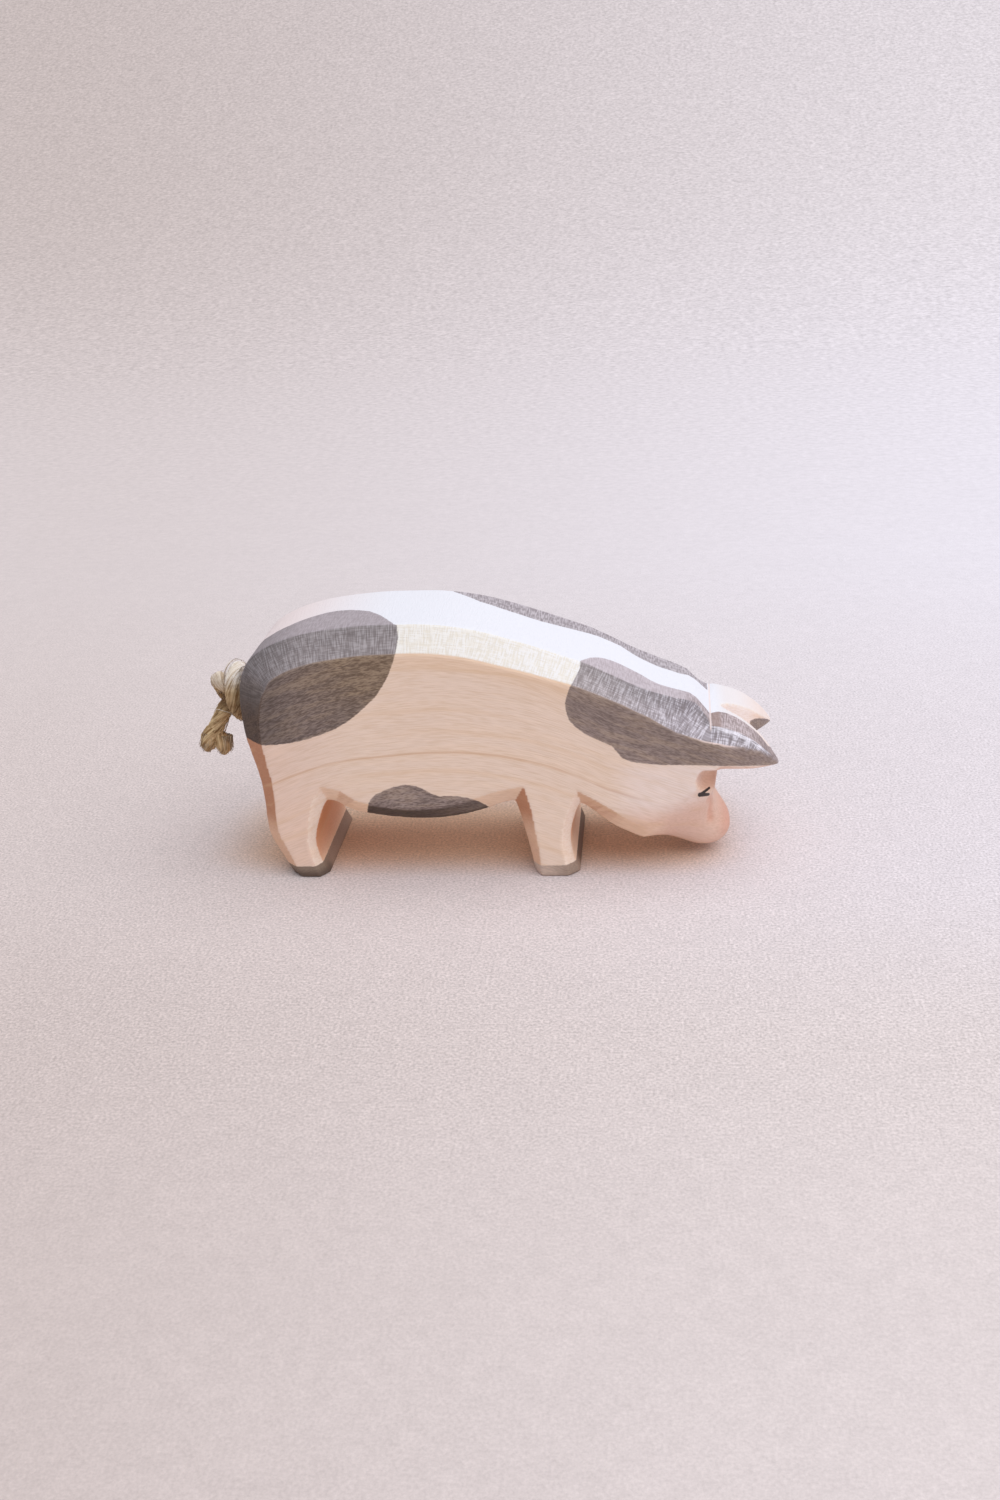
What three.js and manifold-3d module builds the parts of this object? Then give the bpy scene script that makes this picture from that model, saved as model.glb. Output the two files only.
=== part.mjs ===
// A small wooden pig with its head down to graze and a knotted cord for a tail.
// Millimetres, +X from the rump to the snout, +Z up. The origin is on the floor under the middle of the body.
// The body is sawn from a board to the pig's outline, then carved: wide bevels along the back, narrow ones
// round the legs and belly, a cut between the ears, a rounded muzzle and a hollow for each eye.

import * as THREE from 'three';
import { mergeVertices } from 'three/addons/utils/BufferGeometryUtils.js';
import Module from 'manifold-3d';

const wasm = await Module();
wasm.setup();

// Overall sizes
const BODY_LENGTH = 118.5;        // rump to ear tips
const BACK_HEIGHT = 59;           // floor to the top of the back
const BOARD_THICKNESS = 33.6;     // across both flanks

// Bevels: how far each goes in from the flank, measured across the board
const BACK_BEVEL_DEPTH = 4.3;
const NAPE_BEVEL_DEPTH = 8;       // the same behind the ears, where it runs furthest in
const LEG_BEVEL_DEPTH = 2.4;
const EAR_BEVEL_DEPTH = 3.6;

// The ears and the cut between them
const EAR_UNDERSIDE = 25.4;       // height of the flat underside
const EAR_CUT_START = 47;         // where the cut between the ears begins
const EAR_TIP_SPREAD = 12.1;      // each ear tip from the middle
const EAR_CUT_TOP = 36;           // the height at which the cut's upper outline is drawn
const EAR_SIDE_START = 47;        // where the ears begin to narrow from the flank

// The eye hollows
const EYE_HOLLOW_RADII = [6.7, 8.5, 4.2];
const EYE_HOLLOW_CENTRE = [48.5, 17, 22.9];

// The tail
const CORD_DIAMETER = 4.2;
const KNOT_SQUEEZE = 0.8;         // the cord's diameter in the knot, as a share of its own
const FRAYED_SPREAD = 1.6;        // the same at the frayed end
const TAIL_HEIGHT = 41.2;
const HOLE_CLEARANCE = 0.3;       // all round the cord
const HOLE_DEPTH = 12;
const GLUE_LENGTH = 1.4;
const GLUE_CLEARANCE = 0.3;       // to the cord, the wall and the bottom of the hole

// How finely curves are cut
const OUTLINE_STEP = 2;
const CORD_SIDES = 10;
const CORD_STEP = 1.2;
const HOLE_SIDES = 24;

const HALF_BOARD = BOARD_THICKNESS / 2;

// The outline is drawn at its real size, and its own length and height are the ones below.
const DRAWN_LENGTH = 118.5;
const DRAWN_THICKNESS = 33.6;
const DRAWN_HEIGHT = 59;
const DRAWN_MIDDLE = 0.75;        // halfway from the rump to the ear tips, which the origin stands under
const STRETCH = [BODY_LENGTH / DRAWN_LENGTH, BOARD_THICKNESS / DRAWN_THICKNESS, BACK_HEIGHT / DRAWN_HEIGHT];

// Each stretch runs clockwise seen from the pig's right flank. Its bevel and depth are [share of the stretch,
// mm]: the bevel is how far the flat flank starts in from the outline, and the depth how far it goes across.
const OUTLINE = [
  {
    name: 'hind leg back',
    points: [
      [-50.2, 0], [-51.6, 3.1], [-53.2, 6.4], [-54.7, 9.8], [-55.1, 13.5], [-55.1, 18.5], [-55.5, 23.6],
      [-56.6, 28.4], [-57.8, 33], [-58.3, 37], [-58.5, 41], [-58.3, 44.5], [-57.6, 47.6], [-56.1, 50.6],
      [-53.4, 53.2], [-48.6, 55.6], [-43.5, 57.1], [-38.7, 58], [-30, 58.85], [-22, 59], [-14, 58.75],
      [-5, 57.3], [4.9, 54.3], [14, 51], [18.7, 49.2], [23.3, 46.9], [28, 44.4], [33, 42.2], [37.3, 40.7],
      [40.6, 39.5],
    ],
    bevel: [
      [0, 2.1], [0.05, 2.9], [0.12, 2.9], [0.18, 3.4], [0.25, 4.8], [0.32, 6.8], [0.4, 6.3], [0.52, 5.8],
      [0.72, 5.5], [0.86, 4.4], [0.91, 3.9], [0.95, 4.4], [0.98, 5.6], [1, 5.9],
    ],
    depth: [
      [0, LEG_BEVEL_DEPTH], [0.16, LEG_BEVEL_DEPTH], [0.29, BACK_BEVEL_DEPTH], [0.88, BACK_BEVEL_DEPTH],
      [0.95, BACK_BEVEL_DEPTH + 0.4], [0.98, BACK_BEVEL_DEPTH + 1.2], [1, NAPE_BEVEL_DEPTH - 1.2],
    ],
  },
  {
    name: 'back of the head',
    points: [[40.6, 39.5], [42.3, 38.1], [43.6, 36.6], [45.2, 34.8]],
    bevel: [[0, 5.9], [0.2, 5.8], [0.7, 4.6], [1, 2.9]],
    depth: [
      [0, NAPE_BEVEL_DEPTH - 1.2], [0.25, NAPE_BEVEL_DEPTH], [0.5, NAPE_BEVEL_DEPTH - 0.2],
      [0.78, NAPE_BEVEL_DEPTH - 2.2], [1, EAR_BEVEL_DEPTH],
    ],
  },
  {
    name: 'ear top',
    points: [
      [45.2, 34.8], [47, 34.5], [49.3, 33.9], [51.6, 33], [54, 31.6], [56.3, 29.8], [58.6, 27.4], [60, 25.7],
    ],
    bevel: [[0, 2.9], [0.2, 3.1], [0.45, 2.1], [0.65, 1.6], [0.8, 1.1], [1, 0.3]],
    depth: [
      [0, EAR_BEVEL_DEPTH], [0.15, EAR_BEVEL_DEPTH - 0.2], [0.4, EAR_BEVEL_DEPTH - 0.6],
      [0.6, EAR_BEVEL_DEPTH - 0.8], [1, EAR_BEVEL_DEPTH - 0.8],
    ],
  },
  {
    name: 'ear underside',
    points: [[60, 25.7], [59.3, EAR_UNDERSIDE], [56, EAR_UNDERSIDE - 0.02], [47.3, EAR_UNDERSIDE]],
    bevel: [[0, 0.3], [0.3, 0.5], [1, 0.9]],
    depth: [[0, EAR_BEVEL_DEPTH - 0.8], [0.2, 1.3], [1, 1.3]],
    straight: true,
  },
  {
    name: 'face, chin and throat',
    points: [
      [47.3, EAR_UNDERSIDE], [46.7, 22], [46.1, 19], [45.9, 15.5], [46.2, 12.9], [47.6, 10.8], [49.3, 8.9],
      [50.2, 6.8], [50.1, 5], [49.3, 3.5], [47.6, 2.3], [45.4, 1.8], [43, 1.7], [40.7, 2.2], [38.3, 3.4],
      [36, 4.8], [33.9, 6.2], [31.6, 7.5], [29.4, 8.7], [27.2, 9.7], [25, 10.8], [22.8, 12.2], [20.6, 14],
      [18.4, 15.9], [16.4, 17.3],
    ],
    bevel: [[0, 0.9], [0.3, 1.6], [0.5, 2.2], [0.7, 3.8], [0.9, 3.7], [1, 2.8]],
    depth: [[0, 1.3], [0.3, LEG_BEVEL_DEPTH], [1, LEG_BEVEL_DEPTH]],
  },
  {
    name: 'foreleg front',
    points: [[16.4, 17.3], [15.4, 15], [14.5, 12], [14.05, 9.3], [14.1, 6.8], [14.7, 3.6], [16.1, 0]],
    bevel: [[0, 2.2], [0.3, 2.1], [0.7, 1.9], [1, 2.2]],
    depth: [[0, LEG_BEVEL_DEPTH], [1, LEG_BEVEL_DEPTH]],
  },
  {
    name: 'foreleg sole',
    points: [[16.1, 0], [5.9, 0]],
    bevel: [[0, 0], [1, 0]],
    depth: [[0, LEG_BEVEL_DEPTH], [1, LEG_BEVEL_DEPTH]],
    straight: true,
  },
  {
    name: 'foreleg back',
    points: [[5.9, 0], [5.3, 2.8], [4.7, 6.2], [4, 9.4], [3.3, 12.6], [2.7, 15.1], [1.9, 17.9]],
    bevel: [[0, 1.3], [0.2, 2], [0.6, 2.6], [1, 3.4]],
    depth: [[0, LEG_BEVEL_DEPTH], [1, LEG_BEVEL_DEPTH]],
  },
  {
    name: 'belly',
    points: [
      [1.9, 17.9], [0.3, 17.6], [-1.6, 17.1], [-4.1, 16.1], [-7.3, 15.1], [-10.7, 14.3], [-15.3, 13.7],
      [-19.8, 13.6], [-24.4, 13.9], [-28.9, 14.5], [-32.5, 15.2], [-35, 15.9], [-36.8, 16.8], [-38.4, 17.9],
      [-40.6, 18.4],
    ],
    bevel: [[0, 3.9], [0.2, 4.1], [0.6, 3.2], [0.85, 3.5], [1, 4.1]],
    depth: [[0, LEG_BEVEL_DEPTH], [1, LEG_BEVEL_DEPTH]],
  },
  {
    name: 'hind leg front',
    points: [
      [-40.6, 18.4], [-41.6, 16.9], [-42.4, 15], [-43.3, 12.4], [-44, 10], [-44.2, 7.4], [-43.7, 4.6],
      [-42.9, 2.2], [-41.6, 0],
    ],
    bevel: [[0, 3.2], [0.15, 2.5], [0.4, 1.7], [0.7, 1.1], [1, 1.4]],
    depth: [[0, LEG_BEVEL_DEPTH], [1, LEG_BEVEL_DEPTH]],
  },
  {
    name: 'hind sole',
    points: [[-41.6, 0], [-50.2, 0]],
    bevel: [[0, 0], [1, 0]],
    depth: [[0, LEG_BEVEL_DEPTH], [1, LEG_BEVEL_DEPTH]],
    straight: true,
  },
];

// Where the tail cord runs: out of the rump, through one overhand knot and down to its free end, each point
// as [out from the rump, across the board, up from the hole]. It is drawn for a cord as thick as DRAWN_CORD,
// and the knot grows with the cord.
const DRAWN_CORD = 4.2;
const TAIL_ROUTE = [
  [0, 0, 0], [3, -1.4, 0], [5.4, -1.7, 0.3], [7.9, 0.6, 1], [9.1, 3.5, -0.8], [8.1, 5, -4.1],
  [5.5, 4, -6.7], [3.6, 0.8, -7.2], [3.5, -2.2, -5.5], [3.5, -4.9, -2.7], [3.4, -5.7, 0.6], [3.5, -4, 3.7],
  [3.4, -0.8, 4.5], [3.3, 2.3, 2.4], [3.9, 2.8, -0.9], [5.5, 1.1, -3.2], [7.4, 0.1, -5.8], [9.2, 0, -9],
  [10.5, 0.1, -12.4], [11.2, 0, -15.9],
];
// The cord's girth along it, as [share of its length, share of its diameter]
const CORD_GIRTH = [
  [0, 1], [0.085, 1], [0.125, KNOT_SQUEEZE], [0.85, KNOT_SQUEEZE], [0.9, 1], [0.93, 1.1],
  [0.96, 0.9 * FRAYED_SPREAD], [0.985, FRAYED_SPREAD], [1, 0.8 * FRAYED_SPREAD],
];

// One value at a share of the way along, from a list of [share, value]
function valueAt(list, share) {
  for (let i = 1; i < list.length; i++) {
    const [from, low] = list[i - 1];
    const [to, high] = list[i];
    if (share <= to) return low + (high - low) * (share - from) / (to - from);
  }
  return list[list.length - 1][1];
}

function pointsAlong(stretch) {
  const drawn = stretch.points.map(([x, z]) => new THREE.Vector2(x * STRETCH[0], z * STRETCH[2]));
  if (stretch.straight) return drawn;
  const curve = new THREE.SplineCurve(drawn);
  return curve.getSpacedPoints(Math.ceil(curve.getLength() / OUTLINE_STEP));
}

// The closed outline as stations: a point, the bevels of the two edges that meet there and the depth. The
// bevels narrow with the outline, so that they still meet inside a slender ear.
function outlineStations() {
  const narrowing = Math.min(STRETCH[0], STRETCH[2]);
  const stations = [];
  for (const stretch of OUTLINE) {
    const points = pointsAlong(stretch);
    const last = points.length - 1;
    for (let i = 0; i < last; i++) {
      const bevel = narrowing * valueAt(stretch.bevel, i / last);
      const before = stations.length ? stations[stations.length - 1].endBevel : null;
      stations.push({
        point: points[i],
        bevelBefore: i === 0 ? before : bevel,
        bevelAfter: bevel,
        depth: valueAt(stretch.depth, i / last),
        endBevel: narrowing * valueAt(stretch.bevel, 1),
      });
    }
  }
  stations[0].bevelBefore = stations[stations.length - 1].endBevel;
  return stations;
}

// Where the flank's edge lies for a station: in from both edges of the outline by their bevels
function flankPoint(stations, index) {
  const count = stations.length;
  const here = stations[index];
  const before = here.point.clone().sub(stations[(index + count - 1) % count].point).normalize();
  const after = stations[(index + 1) % count].point.clone().sub(here.point).normalize();
  const inwardBefore = new THREE.Vector2(before.y, -before.x);
  const inwardAfter = new THREE.Vector2(after.y, -after.x);
  const turn = inwardBefore.cross(inwardAfter);
  const SHARP = 0.2;
  if (Math.abs(turn) < SHARP) {
    const bisector = inwardBefore.clone().add(inwardAfter);
    const reach = here.bevelAfter / (1 + inwardBefore.dot(inwardAfter));
    return here.point.clone().addScaledVector(bisector, reach);
  }
  const x = (here.bevelBefore * inwardAfter.y - here.bevelAfter * inwardBefore.y) / turn;
  const y = (here.bevelAfter * inwardBefore.x - here.bevelBefore * inwardAfter.x) / turn;
  return here.point.clone().add(new THREE.Vector2(x, y));
}

function quad(index, a, b, c, d) {
  index.push(a, b, c, a, c, d);
}

// The sawn and bevelled blank: two flat flanks, a bevel round each and a plain edge between the bevels
function bevelledBlank() {
  const stations = outlineStations();
  const count = stations.length;
  const flank = stations.map((station, i) => flankPoint(stations, i));
  const position = [];
  for (const side of [-1, 1]) {
    for (const point of flank) position.push(point.x, side * HALF_BOARD, point.y);
    for (const station of stations) {
      position.push(station.point.x, side * (HALF_BOARD - station.depth), station.point.y);
    }
  }
  const NEAR_FLANK = 0;
  const NEAR_EDGE = count;
  const FAR_FLANK = 2 * count;
  const FAR_EDGE = 3 * count;
  const rings = [NEAR_FLANK, NEAR_EDGE, FAR_EDGE, FAR_FLANK];
  const index = [];
  for (let ring = 1; ring < rings.length; ring++) {
    for (let i = 0; i < count; i++) {
      const next = (i + 1) % count;
      quad(index, rings[ring - 1] + i, rings[ring - 1] + next, rings[ring] + next, rings[ring] + i);
    }
  }
  for (const [a, b, c] of THREE.ShapeUtils.triangulateShape(flank, [])) {
    index.push(a, b, c);
    index.push(FAR_FLANK + a, FAR_FLANK + c, FAR_FLANK + b);
  }
  const geometry = new THREE.BufferGeometry();
  geometry.setAttribute('position', new THREE.Float32BufferAttribute(position, 3));
  geometry.setIndex(index);
  return solidFrom(geometry);
}

function solidFrom(geometry) {
  const plain = geometry.clone();
  plain.deleteAttribute('normal');
  plain.deleteAttribute('uv');
  const merged = mergeVertices(plain, 1e-4);
  return new wasm.Manifold(new wasm.Mesh({
    numProp: 3,
    vertProperties: new Float32Array(merged.attributes.position.array),
    triVerts: new Uint32Array(merged.index.array),
  }));
}

function geometryFrom(solid) {
  const mesh = solid.getMesh();
  const geometry = new THREE.BufferGeometry();
  geometry.setAttribute('position', new THREE.Float32BufferAttribute(mesh.vertProperties, 3));
  geometry.setIndex(Array.from(mesh.triVerts));
  geometry.computeVertexNormals();
  return geometry;
}

// A plan outline, [x, y], drawn up from one height to another
function planPrism(outline, bottom, top) {
  const shape = new THREE.Shape(outline.map(([x, y]) => new THREE.Vector2(x, y)));
  const geometry = new THREE.ExtrudeGeometry(shape, { depth: top - bottom, bevelEnabled: false });
  geometry.translate(0, 0, bottom);
  return solidFrom(geometry);
}

// A solid between two plan outlines of as many points, [x, y], one above the other, mirrored across y = 0
function ruledPrism(low, high, bottom, top) {
  const mirrored = (half) => [...half, ...half.slice(1).reverse().map(([x, y]) => [x, -y])];
  const lower = mirrored(low);
  const upper = mirrored(high);
  const count = lower.length;
  const position = [];
  for (const [x, y] of lower) position.push(x, y, bottom);
  for (const [x, y] of upper) position.push(x, y, top);
  const index = [];
  for (let i = 0; i < count; i++) {
    const next = (i + 1) % count;
    quad(index, i, count + i, count + next, next);
  }
  const cap = THREE.ShapeUtils.triangulateShape(lower.map(([x, y]) => new THREE.Vector2(x, y)), []);
  for (const [a, b, c] of cap) {
    index.push(a, c, b);
    index.push(count + a, count + b, count + c);
  }
  const geometry = new THREE.BufferGeometry();
  geometry.setAttribute('position', new THREE.Float32BufferAttribute(position, 3));
  geometry.setIndex(index);
  return solidFrom(geometry);
}

function block(low, high) {
  const size = high.map((value, i) => value - low[i]);
  const geometry = new THREE.BoxGeometry(...size);
  geometry.translate(...low.map((value, i) => value + size[i] / 2));
  return solidFrom(geometry);
}

function bothSides(cutter) {
  return cutter.add(cutter.mirror([0, 1, 0]));
}

// The cut between the ears. Its walls lean back from the underside of the ears to their tops, and each
// ruling is [x, y] at the underside and [x, y] at the cut's top.
function earCut() {
  const RULINGS = [
    [[EAR_CUT_START + 0.2, 0], [EAR_CUT_START + 1, 0]],
    [[EAR_CUT_START + 0.6, 0.4], [EAR_CUT_START + 1.6, 1.3]],
    [[50, 1.5], [51.5, 3.6]],
    [[52.5, 2.6], [53.9, 5.4]],
    [[55, 4.2], [56.6, 7.8]],
    [[57.3, 7.2], [59.6, 11.6]],
    [[60.1, EAR_TIP_SPREAD], [61.5, EAR_TIP_SPREAD + 3]],
    [[68, EAR_TIP_SPREAD + 6], [68, EAR_TIP_SPREAD + 6]],
  ];
  const FINE = 14;
  const [low, high] = [0, 1].map((end) => {
    const drawn = RULINGS.map((ruling) => ruling[end]);
    const curve = new THREE.SplineCurve(drawn.slice(1, -1).map(([x, y]) => new THREE.Vector2(x, y)));
    return [drawn[0], ...curve.getPoints(FINE).map((point) => [point.x, point.y]), drawn[drawn.length - 1]];
  });
  return ruledPrism(low, high, EAR_UNDERSIDE - 0.6, EAR_CUT_TOP);
}

// The outer side of each ear, which runs in to its tip
function earSideCut() {
  const edge = new THREE.SplineCurve([
    [EAR_SIDE_START, 0], [52, 0.4], [55.5, 1.4], [58.5, 2.8], [61.5, 4.6],
  ].map(([x, inward]) => new THREE.Vector2(x, DRAWN_THICKNESS / 2 - inward)));
  const points = edge.getPoints(8).map((point) => [point.x, point.y]);
  const outline = [...points, [61.5, DRAWN_THICKNESS / 2 + 4], [EAR_SIDE_START, DRAWN_THICKNESS / 2 + 4]];
  return bothSides(planPrism(outline, EAR_UNDERSIDE - 2, EAR_CUT_TOP));
}

// The muzzle: the head narrows and rounds off forward of a slanted line across the cheek.
// Each section is [forward of the line, lowest, highest, half width, squareness]; lowest and highest are
// measured along the line, up from MUZZLE_ORIGIN.
const MUZZLE_ORIGIN = [41.8, 22.5];
const MUZZLE_SLOPE = 39;          // degrees, the line's rise towards the ears
const MUZZLE_SECTIONS = [
  [-1, -27, 20, 18.6, 8], [0, -25, 17, 17.4, 8], [3, -20.8, 7.5, 15.8, 6], [6, -18.2, 1.8, 13.3, 4.2],
  [9, -16.6, -1.2, 10.7, 3.1], [12, -15.4, -2.2, 9.2, 2.6], [14, -14.5, -2.5, 8.7, 2.4],
  [16, -13.3, -2.9, 8.1, 2.3], [17.6, -11.8, -3.5, 7, 2.2], [18.8, -9.9, -4.4, 5, 2.1],
  [19.5, -8, -5.8, 2.4, 2],
];

function muzzleEnvelope() {
  const SIDES = 28;
  const STEPS_PER_SECTION = 2;
  const curves = [1, 2, 3, 4].map((column) => new THREE.SplineCurve(
    MUZZLE_SECTIONS.map((section) => new THREE.Vector2(section[0], section[column]))));
  const steps = (MUZZLE_SECTIONS.length - 1) * STEPS_PER_SECTION;
  const slope = THREE.MathUtils.degToRad(MUZZLE_SLOPE);
  const up = new THREE.Vector3(Math.cos(slope), 0, Math.sin(slope));
  const forward = new THREE.Vector3(Math.sin(slope), 0, -Math.cos(slope));
  const origin = new THREE.Vector3(MUZZLE_ORIGIN[0], 0, MUZZLE_ORIGIN[1]);
  const position = [];
  for (let step = 0; step <= steps; step++) {
    const [low, high, halfWidth, squareness] = curves.map((curve) => curve.getPoint(step / steps));
    for (let side = 0; side < SIDES; side++) {
      const angle = 2 * Math.PI * side / SIDES;
      const round = (value) => Math.sign(value) * Math.abs(value) ** (2 / squareness.y);
      const rise = (low.y + high.y) / 2 + (high.y - low.y) / 2 * round(Math.cos(angle));
      const point = origin.clone().addScaledVector(forward, low.x).addScaledVector(up, rise);
      position.push(point.x, halfWidth.y * round(Math.sin(angle)), point.z);
    }
  }
  return closedLoft(position, SIDES, steps + 1);
}

// A closed solid through rings of as many points, flat at both ends
function closedLoft(position, sides, rings) {
  const index = [];
  for (let ring = 1; ring < rings; ring++) {
    for (let side = 0; side < sides; side++) {
      const next = (side + 1) % sides;
      const [here, below] = [ring * sides, (ring - 1) * sides];
      quad(index, below + side, here + side, here + next, below + next);
    }
  }
  const last = (rings - 1) * sides;
  for (let side = 1; side < sides - 1; side++) {
    index.push(0, side, side + 1);
    index.push(last, last + side + 1, last + side);
  }
  const geometry = new THREE.BufferGeometry();
  geometry.setAttribute('position', new THREE.Float32BufferAttribute(position, 3));
  geometry.setIndex(index);
  return solidFrom(geometry);
}

// What the carver takes off round the muzzle
function muzzleCut() {
  const slope = THREE.MathUtils.degToRad(MUZZLE_SLOPE);
  const SIZE = 80;
  const geometry = new THREE.BoxGeometry(SIZE, SIZE, SIZE);
  geometry.translate(0, 0, SIZE / 2);
  geometry.applyQuaternion(new THREE.Quaternion().setFromUnitVectors(
    new THREE.Vector3(0, 0, 1), new THREE.Vector3(Math.sin(slope), 0, -Math.cos(slope))));
  geometry.translate(MUZZLE_ORIGIN[0], 0, MUZZLE_ORIGIN[1]);
  const FORELEG_CLEAR = 18.5;
  const ahead = solidFrom(geometry).intersect(block([FORELEG_CLEAR, -40, -5], [70, 40, EAR_UNDERSIDE]));
  return ahead.subtract(muzzleEnvelope());
}

function ellipsoid(centre, radii) {
  const geometry = new THREE.SphereGeometry(1, 24, 16);
  geometry.scale(...radii);
  geometry.translate(...centre);
  return solidFrom(geometry);
}

// A hollow for each eye, gouged into the side of the head under the ear
function eyeHollows() {
  const hollow = ellipsoid(EYE_HOLLOW_CENTRE, EYE_HOLLOW_RADII);
  return bothSides(hollow.intersect(block([0, 0, 0], [80, 60, EAR_UNDERSIDE])));
}

// How far out the rump stands at a height, on the middle of the board
function rumpAt(height) {
  const stations = outlineStations();
  let reach = 0;
  for (let i = 1; i < stations.length; i++) {
    const a = stations[i - 1].point;
    const b = stations[i].point;
    if ((a.y - height) * (b.y - height) > 0 || a.y === b.y) continue;
    reach = Math.min(reach, a.x + (b.x - a.x) * (height - a.y) / (b.y - a.y));
  }
  return reach;
}

const RUMP = rumpAt(TAIL_HEIGHT);
const HOLE_DIAMETER = CORD_DIAMETER + 2 * HOLE_CLEARANCE;

// A rod along X from one place to another, at the tail's height
function rod(diameter, from, to) {
  const geometry = new THREE.CylinderGeometry(diameter / 2, diameter / 2, to - from, HOLE_SIDES);
  geometry.rotateZ(Math.PI / 2);
  geometry.translate((from + to) / 2, 0, TAIL_HEIGHT);
  return geometry;
}

function carvedBody() {
  const OUTSIDE = 4;
  const carving = earSideCut().add(earCut()).add(muzzleCut()).add(eyeHollows()).scale(STRETCH);
  const hole = solidFrom(rod(HOLE_DIAMETER, RUMP - OUTSIDE, RUMP + HOLE_DEPTH));
  return geometryFrom(bevelledBlank().subtract(carving).subtract(hole));
}

const GLUE_END = RUMP + HOLE_DEPTH - GLUE_CLEARANCE;
const CORD_START = GLUE_END - GLUE_LENGTH - GLUE_CLEARANCE;

// The tail cord: one unbroken tube from the bottom of its hole through the knot to the frayed end
function tailCord() {
  const growth = CORD_DIAMETER / DRAWN_CORD;
  const route = TAIL_ROUTE.map(([out, across, up]) =>
    new THREE.Vector3(RUMP - out * growth, across * growth, TAIL_HEIGHT + up * growth));
  const inside = new THREE.Vector3(CORD_START, 0, TAIL_HEIGHT);
  const halfway = inside.clone().lerp(route[0], 0.5);
  const curve = new THREE.CatmullRomCurve3([inside, halfway, ...route]);
  const length = curve.getLength();
  const steps = Math.ceil(length / CORD_STEP);
  const centres = curve.getSpacedPoints(steps);
  const radii = centres.map((point, i) => valueAt(CORD_GIRTH, i / steps) * CORD_DIAMETER / 2);
  const frames = curve.computeFrenetFrames(steps);
  const position = [];
  centres.forEach((centre, i) => {
    for (let side = 0; side < CORD_SIDES; side++) {
      const angle = -2 * Math.PI * side / CORD_SIDES;
      const point = centre.clone()
        .addScaledVector(frames.normals[i], radii[i] * Math.cos(angle))
        .addScaledVector(frames.binormals[i], radii[i] * Math.sin(angle));
      position.push(point.x, point.y, point.z);
    }
  });
  const gap = leastGap(centres, radii);
  console.log(`tail cord ${length.toFixed(1)} mm long, least gap to itself ${gap.toFixed(2)} mm`);
  return geometryFrom(closedLoft(position, CORD_SIDES, centres.length));
}

// The least space between two turns of the cord, on points along its middle that are further apart along it
// than the cord bends back in
function leastGap(centres, radii) {
  const APART = Math.ceil(1.6 * CORD_DIAMETER / CORD_STEP);
  let least = Infinity;
  for (let i = 0; i < centres.length; i++) {
    for (let j = i + APART; j < centres.length; j++) {
      least = Math.min(least, centres[i].distanceTo(centres[j]) - radii[i] - radii[j]);
    }
  }
  return least;
}

// The dried glue at the bottom of the hole, which holds the cord
function gluePlug() {
  return rod(HOLE_DIAMETER - 2 * GLUE_CLEARANCE, GLUE_END - GLUE_LENGTH, GLUE_END);
}

const maple = new THREE.MeshStandardMaterial({ color: 0xe3c3ab, roughness: 0.62, metalness: 0 });
const hemp = new THREE.MeshStandardMaterial({ color: 0xa08c68, roughness: 0.9, metalness: 0 });
const glue = new THREE.MeshStandardMaterial({ color: 0xcfae6a, roughness: 0.4, metalness: 0 });

const pig = new THREE.Group();
pig.position.x = -DRAWN_MIDDLE * STRETCH[0];

function addPiece(name, geometry, material) {
  const mesh = new THREE.Mesh(geometry, material);
  mesh.name = name;
  pig.add(mesh);
}

addPiece('carved_body', carvedBody(), maple);
addPiece('tail_cord', tailCord(), hemp);
addPiece('glue_plug', gluePlug(), glue);

export default pig;
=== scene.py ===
"""Looks of a carved wooden pig with a knotted rope tail. Lengths are in mm, and in metres for Blender."""

import math

import bpy
import numpy as np
from mathutils import Matrix, Vector
from mathutils.bvhtree import BVHTree


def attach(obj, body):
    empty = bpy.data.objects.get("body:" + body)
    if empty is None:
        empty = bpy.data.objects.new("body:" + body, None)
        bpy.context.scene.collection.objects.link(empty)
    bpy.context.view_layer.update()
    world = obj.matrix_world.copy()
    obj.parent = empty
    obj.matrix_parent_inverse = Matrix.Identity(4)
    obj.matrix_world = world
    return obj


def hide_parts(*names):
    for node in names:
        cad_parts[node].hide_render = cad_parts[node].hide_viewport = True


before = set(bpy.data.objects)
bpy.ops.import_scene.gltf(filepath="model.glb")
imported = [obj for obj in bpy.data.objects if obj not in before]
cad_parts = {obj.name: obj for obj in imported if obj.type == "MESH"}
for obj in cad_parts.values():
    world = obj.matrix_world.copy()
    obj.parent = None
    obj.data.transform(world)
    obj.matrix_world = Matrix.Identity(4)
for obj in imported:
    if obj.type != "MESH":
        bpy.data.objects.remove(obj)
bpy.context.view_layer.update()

MM = 0.001
FULL_TURN = 2 * math.pi
FAR_OFF = 1e9  # mm, further than anything here
HALF_THICK = 16.8  # mm, half the board that the animal is sawn from
OFF_SPOT = -9.0  # mm inside a spot of stain, for points that the spot can't reach

# The photograph's own viewpoint, measured from the feet, the ears and the rump, in mm and degrees
CAMERA_PLACE = (32.7219, -316.3859, 157.753)
CAMERA_DOWN, CAMERA_YAW, CAMERA_ROLL = 22.7847, -6.4898, -3.2538
CAMERA_LENS = CAMERA_SENSOR = 36
CAMERA_CLIP = (0.01, 40)  # metres


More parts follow.
